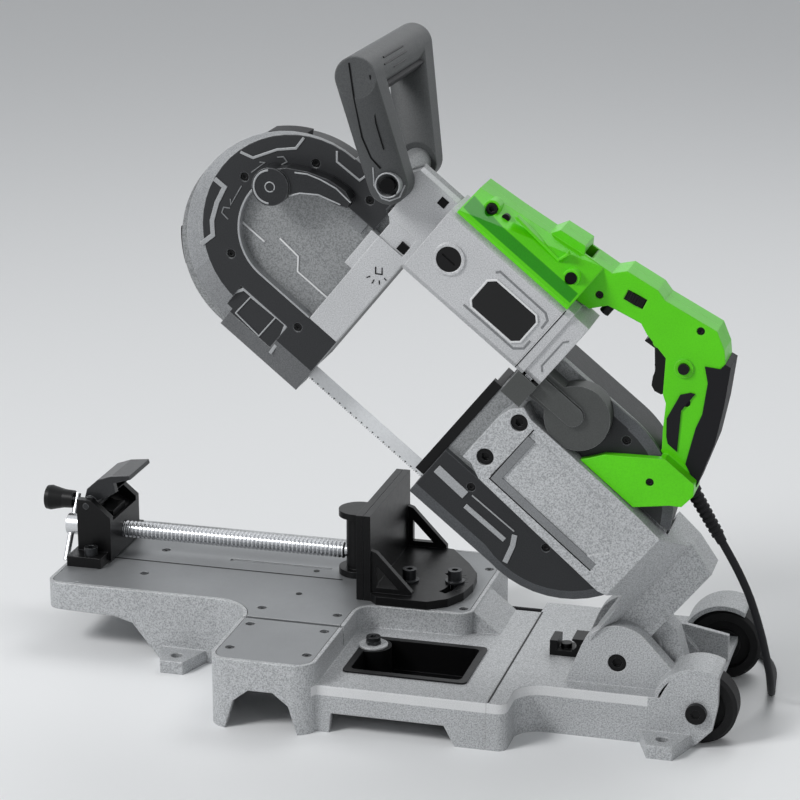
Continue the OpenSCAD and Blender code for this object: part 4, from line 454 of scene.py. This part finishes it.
def addStrip(mesh, points, width, y0, y1, bevel):
    # a raised band with mitred corners along points in u and w, closed when it ends where it starts;
    # the edges of its front are bevelled
    line = [Vector(p) for p in points]
    closed = line[0] == line[-1]
    if closed:
        line.pop()
    count = len(line)
    rings = []
    for i, p in enumerate(line):
        runs = []
        if closed or i > 0:
            runs.append((p - line[i - 1]).normalized())
        if closed or i < count - 1:
            runs.append((line[(i + 1) % count] - p).normalized())
        normals = [Vector((-run.y, run.x)) for run in runs]
        mitre = sum(normals, Vector((0, 0))).normalized()
        reach = mitre * (width / 2) / max(mitre.dot(normals[0]), shaping["mitreLimit"])
        corners = ((p + reach, y0), (p - reach, y0), (p - reach, y1), (p + reach, y1))
        rings.append([mesh.verts.new((q.x, y, q.y)) for q, y in corners])
    faces = []
    for i in range(count if closed else count - 1):
        a, b = rings[i], rings[(i + 1) % count]
        for k in range(4):
            faces.append(mesh.faces.new((a[k], a[(k + 1) % 4], b[(k + 1) % 4], b[k])))
    if not closed:
        faces += [mesh.faces.new(rings[0]), mesh.faces.new(rings[-1])]
    mesh.normal_update()
    rims = [edge for edge in sharpEdges(faces)
            if all(abs(vert.co.y - y0) < shaping["levelError"] for vert in edge.verts)]
    bevelEdges(mesh, rims, bevel)


def addSector(mesh, centre, inner, outer, y0, y1, start, end, bevel):
    # part of a flat ring about an axis along Y, angles in degrees from +u towards +w
    corners = [(inner, y0), (outer, y0), (outer, y1), (inner, y1)]
    a = math.radians(start)
    verts = [mesh.verts.new((centre[0] + r * math.cos(a), y, centre[1] + r * math.sin(a)))
             for r, y in corners]
    edges = [mesh.edges.new((verts[i], verts[(i + 1) % 4])) for i in range(4)]
    before = set(mesh.faces)
    made = bmesh.ops.spin(mesh, geom=verts + edges, cent=(centre[0], 0, centre[1]), axis=(0, 1, 0),
                          angle=-math.radians(end - start), steps=shaping["sectorSteps"],
                          use_duplicate=False)
    lastEdges = [item for item in made["geom_last"] if isinstance(item, bmesh.types.BMEdge)]
    bmesh.ops.contextual_create(mesh, geom=edges)
    bmesh.ops.contextual_create(mesh, geom=lastEdges)
    bevelEdges(mesh, sharpEdges([face for face in mesh.faces if face not in before]), bevel)


def addDisc(mesh, place, radius, y0, y1, bevel):
    # a disc about an axis along Y; its caps are the faces with more than four corners
    matrix = Matrix.Translation((place[0], (y0 + y1) / 2, place[1])) @ Matrix.Rotation(math.pi / 2, 4, "X")
    made = bmesh.ops.create_cone(mesh, cap_ends=True, segments=shaping["discSegments"], radius1=radius,
                                 radius2=radius, depth=y1 - y0, matrix=matrix)
    rims = [edge for edge in {e for vert in made["verts"] for e in vert.link_edges}
            if any(len(face.verts) > 4 for face in edge.link_faces)]
    bevelEdges(mesh, rims, bevel)


# Power cord: the free stretch and the coil are one curve on the route of the source

cordRoute = [
    (84.2, 15, 176.7), (90, 15, 167), (96, 16, 156), (102, 20, 142), (108, 27, 124), (113, 36, 103),
    (117, 47, 81), (120, 58, 59), (122, 70, 39), (122, 83, 22), (121, 98, 10), (119, 116, 4),
    (117, 136, 4), (115, 156, 4), (110, 176, 4), (100, 195, 4), (84, 211, 4), (64, 223, 4),
    (40, 232, 4), (14, 239, 4), (-14, 243, 4), (-44, 246, 4), (-76, 246, 4), (-110, 246, 4),
    (-144, 246, 4), (-178, 246, 4), (-204, 246, 4), (-226, 246, 4)]
coilStart = (-233, 246, 4)
plugRoute = [
    (-240, 246, 27.1), (-251, 246, 27.1), (-262, 246, 26), (-272, 246, 23), (-282, 246, 18.5),
    (-292, 246, 15), (-301, 246, 14), (-308, 246, 14)]
cordSetup = {"diameter": 7, "parts": 2, "roundness": 4, "coilX": -240, "coilY": 285, "coilD": 78,
             "turns": 10, "layers": 4, "rings": 24, "step": 7.7, "low": 4}


def ease(t):
    t = min(max(t, 0.0), 1.0)
    return t * t * (3 - 2 * t)


def coilPoints(v):
    # layers that wind inwards and outwards by turns, each a step above the last; the cord climbs
    # that step within half a turn
    turnsALayer = v["turns"] / v["layers"]
    points = [coilStart]
    for i in range(v["turns"] * v["rings"]):
        t = i / v["rings"]
        layer = math.floor(t / turnsALayer)
        part = t - layer * turnsALayer
        radius = v["coilD"] / 2 - v["step"] * (part if layer % 2 == 0 else turnsALayer - part)
        near = math.floor(t / turnsALayer + 0.5)
        if t < turnsALayer / 2:
            level = 0
        elif near >= v["layers"]:
            level = v["layers"] - 1
        else:
            level = near - 1 + ease((t - near * turnsALayer) * 2 + 0.5)
        angle = math.radians(270 - 360 * t)
        points.append((v["coilX"] + radius * math.cos(angle), v["coilY"] + radius * math.sin(angle),
                       v["low"] + v["step"] * level))
    return points + plugRoute


def smoothRoute(points, parts):
    # a smooth line through the points, with each stretch cut into parts
    made = []
    for i in range(len(points) - 1):
        p = [Vector(points[min(max(k, 0), len(points) - 1)]) for k in (i - 1, i, i + 1, i + 2)]
        for j in range(parts):
            t = j / parts
            made.append(0.5 * (2 * p[1] + (p[2] - p[0]) * t
                               + (2 * p[0] - 5 * p[1] + 4 * p[2] - p[3]) * t * t
                               + (3 * p[1] - p[0] - 3 * p[2] + p[3]) * t ** 3))
    made.append(Vector(points[-1]))
    return made


def makeCord(v):
    points = [p * mm for p in smoothRoute(cordRoute, v["parts"])] + [Vector(p) * mm for p in coilPoints(v)]
    curve = bpy.data.curves.new("powerCord", "CURVE")
    curve.dimensions = "3D"
    curve.bevel_depth = v["diameter"] * mm / 2
    curve.bevel_resolution = v["roundness"]
    curve.use_fill_caps = True
    line = curve.splines.new("POLY")
    line.points.add(len(points) - 1)
    for point, place in zip(line.points, points):
        point.co = (*place, 1)
    piece = bpy.data.objects.new("powerCord", curve)
    scene.collection.objects.link(piece)
    curve.materials.append(materials["rubber"])
    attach(piece, "base")
    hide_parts("cord", "cord_coil")


makeCord(cordSetup)

# Raised bands, ribs, seams, painted highlights and painted shade in hollows, in u, y and w of the lowered
# head.
# A strip has its width, y from, y to and points, a sector its centre, radii, y from, y to and angles,
# a disc its centre, radius, y from and y to

trimSets = {
    # light raised strips along the cover's rims and ridge, coloured as painted highlights
    "coverHighlights": {
        "finish": "highlightGrey", "body": "head", "slot": "charcoal_guard", "bevel": 0.3,
        "strips": [
            (2.2, -18.8, -14, ((-523.5, 128.5), (-512.3, 132), (-501, 151.6), (-489.6, 163.4),
                               (-490, 175.1))),
            (4.0, -18.8, -14, ((-526.4, 95.2), (-515.5, 95.4), (-512.3, 80.2), (-506, 65.1),
                               (-497.8, 55.9), (-500.7, 42.8))),
            (1.8, -16.6, -11, ((-500.9, 41.9), (-512.5, 54.3), (-521.2, 69.3), (-525.5, 84),
                               (-526.6, 94.4))),
            (1.8, -18.8, -14, ((-461.9, 185.5), (-456.3, 178.5), (-432, 179.4), (-429.7, 190.6))),
            (2.8, -17, -13, ((-454.7, 26.9), (-448.5, 37), (-402, 38.1), (-398.1, 25.6), (-396.8, 8.6))),
            (1.2, -16, -13, ((-440.1, 35.3), (-412.8, 36.4), (-413.6, 13.2), (-441.3, 15),
                             (-440.1, 35.3))),
            (1.6, -18.8, -14, ((-446, 58), (-391, 58)))],
        "sectors": [
            ((-446, 108), 49.2, 51, -18.8, -14, 172, 270)]},
    "coverArrows": {
        "finish": "shadeGrey", "body": "head", "slot": "charcoal_guard", "bevel": 0.15,
        "strips": [
            (1.0, -18.6, -17, ((-505.1, 106.4), (-502.2, 87.3), (-505.5, 91))),
            (1.0, -18.6, -17, ((-496.2, 75.8), (-503.8, 76.5), (-505.5, 81.2), (-500.9, 84.4))),
            (1.0, -18.6, -17, ((-505.8, 121.2), (-502.3, 135.6), (-505.8, 133))),
            (1.0, -18.6, -17, ((-497, 146.5), (-493.2, 150.5), (-488.3, 149.3), (-490.5, 143.3)))]},
    # light raised strips along the rear cover's facets, painted highlights
    "rearHighlights": {
        "finish": "highlightGrey", "body": "head", "slot": "charcoal_guard", "bevel": 0.3,
        "strips": [
            (8.0, -16.8, -14, ((-226, 31.2), (-193, 30.2))),
            (4.4, -16.8, -14, ((-187.1, 22.9), (-143, 23.3))),
            (1.2, -16.8, -14, ((-188.7, 34.3), (-141.8, 35.1))),
            (4.6, -16.8, -14, ((-139.5, 33), (-134.5, 24), (-129.8, 8)))]},
    "webRibs": {
        "finish": "paleGrey", "body": "head", "slot": "motor_grey", "bevel": 0.3,
        "strips": [
            (1.5, -10.1, -8, ((-487.2, 79), (-461.3, 79))),
            (1.5, -10.1, -8, ((-453.3, 90.6), (-431.6, 89.3), (-423.8, 78.7), (-390.7, 78.7)))]},
    # a shade-grey block below the lever's arm, a painted shadow
    "leverShadowBlock": {
        "finish": "shadeGrey", "body": "head", "slot": "motor_grey", "bevel": 0.6,
        "strips": [
            (15.5, -12, -8, ((-417, 149.8), (-403.5, 149.8)))]},
    "labelRim": {
        "finish": "paleGrey", "body": "head", "slot": "motor_grey", "bevel": 0.4,
        "strips": [
            (1.8, -45.5, -43, ((-298, 175.6), (-298, 197.4), (-292.4, 203), (-249.6, 203), (-245, 198.4),
                               (-245, 176.6), (-250.6, 171), (-293.4, 171), (-298, 175.6)))]},
    # shade-grey lines along the steps of the motor housing, painted shade
    "motorStepShade": {
        "finish": "shadeGrey", "body": "head", "slot": "motor_grey", "bevel": 0.25,
        "strips": [
            (1.8, -44.5, -43, ((-297.3, 207.1), (-295, 210), (-245.3, 209.3), (-240.1, 205.5),
                               (-239.5, 197))),
            (1.8, -44.5, -43, ((-299.7, 167.8), (-246, 167.8), (-239.5, 173.8), (-239.5, 182.6)))]},
    "armShade": {
        "finish": "shadeGrey", "body": "head", "slot": "cast_grey", "bevel": 0.5,
        "strips": [
            (7.4, -30.4, -28, ((-184, 113.5), (-183.8, 66.4), (-74, 64.4)))]},
    # light strips and rings on the tension lever, painted highlights
    "leverHighlights": {
        "finish": "highlightGrey", "body": "tension_lever", "slot": "lever_steel", "bevel": 0.25,
        "strips": [
            (1.2, -35.5, -34, ((-476, 153), (-467, 159.3), (-456, 163.3), (-441.3, 166.6),
                               (-424.5, 165.6))),
            (1.2, -35.5, -34, ((-467.4, 134.1), (-461.9, 142.3), (-449.2, 152.1), (-430, 158.4)))],
        "sectors": [
            ((-484, 130), 13.2, 14.8, -38.5, -37, 134, 304),
            ((-484, 130), 3.6, 4.6, -38.4, -37, 0, 350)]},
    # a shade-grey line along the end cap's edge, painted shade
    "capShadeLine": {
        "finish": "shadeGrey", "body": "head", "slot": "motor_grey", "bevel": 0.25,
        "strips": [
            (1.4, -42.5, -40, ((-215.2, 168.6), (-218.9, 172.3), (-218.8, 199.5), (-215.8, 203.7)))]},
    # a light ring round the lug's bore, a painted highlight
    "lugHighlightRing": {
        "finish": "highlightGrey", "body": "head", "slot": "cast_grey", "bevel": 0.4,
        "sectors": [
            ((-409, 206), 9.4, 10.6, -58, -45, 0, 350)]},
    # black print marks and a seam line on the motor; the other black strips, blocks and discs are painted
    # shade
    "marksAndShade": {
        "finish": "jet", "body": "head", "slot": "black_parts", "bevel": 0.12,
        "strips": [
            (0.9, -24.5, -23, ((-375.6, 134), (-372, 129.4), (-367.4, 132.6), (-371, 137.2))),
            (0.9, -24.5, -23, ((-374, 124.5), (-375.6, 121.5))),
            (0.9, -24.5, -23, ((-369.6, 124.6), (-369, 120.8))),
            (0.9, -24.5, -23, ((-366, 127), (-363.6, 124.4))),
            (0.9, -24.5, -23, ((-364, 131.4), (-361.4, 131.2))),
            (0.8, -44.35, -43, ((-234, 222), (-234.4, 157))),
            (1.0, -30.3, -28, ((-187.9, 121), (-187.9, 62.2), (-73.7, 60.2))),
            (8.0, -24.3, -21, ((-372.4, 162), (-364.4, 162))),
            (7.4, -24.5, -22, ((-371.2, 215), (-363.8, 215)))],
        "discs": [
            ((-409, 206), 6.2, -58.2, -45),
            ((-248.6, 241.4), 5.0, -31.4, -26),
            ((-320.6, 240.6), 3.4, -24.8, -20)]},
    "shellBoss": {
        "finish": "green", "body": "head", "slot": "green_shell", "bevel": 0.4,
        "strips": [
            (2.2, -27.6, -20, ((-314.8, 248), (-266, 244.6), (-263, 254)))],
        "discs": [
            ((-248.6, 241.4), 7.2, -30.4, -22)]},
}


def makeTrim(name, v):
    mesh = bmesh.new()
    for width, y0, y1, points in v.get("strips", ()):
        addStrip(mesh, points, width, y0, y1, v["bevel"])
    for sector in v.get("sectors", ()):
        addSector(mesh, *sector, v["bevel"])
    for disc in v.get("discs", ()):
        addDisc(mesh, *disc, v["bevel"])
    finishPiece(name, mesh, v["finish"], v["body"])


for trimName, trimValues in trimSets.items():
    makeTrim(trimName, trimValues)

# Slots and seams of the top handle and the rim of its foot, as points in u, y and w

handleBars = {
    "slots": (((-478.6, -42, 279.2), (-478.6, 16, 279.2)), ((-473.8, -48, 277.2), (-473.8, 18, 277.2)),
              ((-469.4, -24, 273.4), (-469.4, 12, 273.4))),
    "slotSize": (2.4, 1.6), "slotBevel": 0.3,
    "seams": (((-493, -78, 268.5), (-473.3, -78, 250.3), (-448.7, -66.2, 225.3), (-433.2, -60.2, 215.3),
               (-422.4, -57.8, 213)),
              ((-474, -78, 272.5), (-460, -74, 257.4), (-446.8, -69.7, 243.1), (-429.8, -62, 228.7))),
    "seamSize": (1.1, 1.3),
    "rim": ((-427.1, -57.2, 209.1), (-417.5, -51.2, 196.3), (-406.4, -47.8, 191.2), (-400.3, -47.2, 193.8),
            (-396, -47.2, 202), (-398.8, -48.1, 212.6))}


def makeHandleBars(v):
    mesh = bmesh.new()
    for a, b in v["slots"]:
        addBar(mesh, a, b, *v["slotSize"], v["slotBevel"])
    for seam in v["seams"]:
        addBars(mesh, seam, *v["seamSize"])
    # black slots are painted shade; the seams are the handle's dark joints
    finishPiece("handleSlotShadeAndSeams", mesh, "jet", "head")
    rim = bmesh.new()
    addBars(rim, v["rim"], *v["seamSize"])
    # the light foot rim is a painted highlight
    finishPiece("footRimHighlight", rim, "highlightGrey", "head")


makeHandleBars(handleBars)

# Joint lines of the machined plates and painted shade in the two holes beside the screw, as points in X, Y
# and Z

bedJointsAndHoleShade = {"lines": (((-512, 129, 64.05), (-283, 129, 64.05)),
                      ((-97.8, 150, 43.05), (-97.8, -64, 43.05))),
            "holes": ((-311.1, 84.3, 64.05), (-312.7, 144.8, 64.05)),
            "width": 1.5, "depth": 0.5, "holeRadius": 2.9, "holeSegments": 32}


def makeBedJointsAndHoleShade(v):
    # a bar's depth is along Y, so on the level plates it is the line's width
    mesh = bmesh.new()
    for line in v["lines"]:
        addBars(mesh, line, v["depth"], v["width"])
    # black discs in the holes are painted shade
    for place in v["holes"]:
        bmesh.ops.create_cone(mesh, cap_ends=True, segments=v["holeSegments"], radius1=v["holeRadius"],
                              radius2=v["holeRadius"], depth=v["depth"], matrix=Matrix.Translation(place))
    finishPiece("bedJointsAndHoleShade", mesh, "jet", "base")


makeBedJointsAndHoleShade(bedJointsAndHoleShade)

# Saw teeth on the lower run of the blade, set to one side, straight and to the other by turns

toothSetup = {"start": -362, "end": -229, "pitch": 2.1, "depth": 1.1, "low": 1.3, "bladeY": 18,
              "set": (0.168, 0, -0.168), "root": 1.302, "tip": 0.12, "thin": 0.32}


def makeTeeth(v):
    # each tooth is a small pyramid, point down, thinned to the blade
    mesh = bmesh.new()
    for i in range(int((v["end"] - v["start"]) / v["pitch"])):
        place = (v["start"] + v["pitch"] * (i + 0.5), v["bladeY"] + v["set"][i % 3], v["low"])
        matrix = (Matrix.Translation(place) @ Matrix.Rotation(math.pi, 4, "X")
                  @ Matrix.Diagonal((1.0, v["thin"], 1.0, 1)) @ Matrix.Rotation(math.pi / 4, 4, "Z"))
        bmesh.ops.create_cone(mesh, cap_ends=True, segments=4, radius1=v["root"], radius2=v["tip"],
                              depth=v["depth"] * 2, matrix=matrix)
    finishPiece("bladeTeeth", mesh, "darkSteel", "head")


makeTeeth(toothSetup)
print("pieces made")

# Floor, lamps and world. Each lamp has its power, place and size

stageSetup = {"floorSize": 12.0, "floorColour": (0.82, 0.83, 0.84, 1), "floorRough": 0.55,
              "lamps": {"key": (62, (-1.9, -1.7, 2.2), 0.9), "fill": (7, (2.2, -1.6, 1.0), 1.8),
                        "top": (20, (0.4, 1.3, 2.4), 1.4)},
              "target": (-0.2, 0.05, 0.28), "sky": (0.93, 0.95, 0.97, 1), "skyLight": 0.3}


def makeFloor(v):
    mesh = bmesh.new()
    bmesh.ops.create_grid(mesh, x_segments=1, y_segments=1, size=v["floorSize"])
    data = bpy.data.meshes.new("floor")
    mesh.to_mesh(data)
    mesh.free()
    paint = bpy.data.materials.new("floorPaint")
    paint.use_nodes = True
    shader = paint.node_tree.nodes["Principled BSDF"]
    shader.inputs["Base Color"].default_value = v["floorColour"]
    shader.inputs["Roughness"].default_value = v["floorRough"]
    data.materials.append(paint)
    floor = bpy.data.objects.new("floor", data)
    scene.collection.objects.link(floor)


def addLamps(v):
    for name, (power, place, size) in v["lamps"].items():
        data = bpy.data.lights.new(name, "AREA")
        data.energy = power
        data.size = size
        lamp = bpy.data.objects.new(name, data)
        lamp.location = place
        lamp.rotation_euler = (Vector(v["target"]) - Vector(place)).to_track_quat("-Z", "Y").to_euler()
        scene.collection.objects.link(lamp)


def makeWorld(v):
    # the camera and mirrored rays see the full sky, and the object gets a part of its light
    world = bpy.data.worlds.new("studio")
    scene.world = world
    world.use_nodes = True
    tree = world.node_tree
    background = tree.nodes["Background"]
    path = tree.nodes.new("ShaderNodeLightPath")
    seen = mathNode(tree, "MAXIMUM", path.outputs["Is Camera Ray"], path.outputs["Is Glossy Ray"])
    seen = mathNode(tree, "MAXIMUM", seen, path.outputs["Is Transmission Ray"])
    tree.links.new(rangeNode(tree, seen, 0.0, 1.0, v["skyLight"], 1.0), background.inputs["Strength"])
    background.inputs["Color"].default_value = v["sky"]


makeFloor(stageSetup)
addLamps(stageSetup)
makeWorld(stageSetup)

print("scene ready")
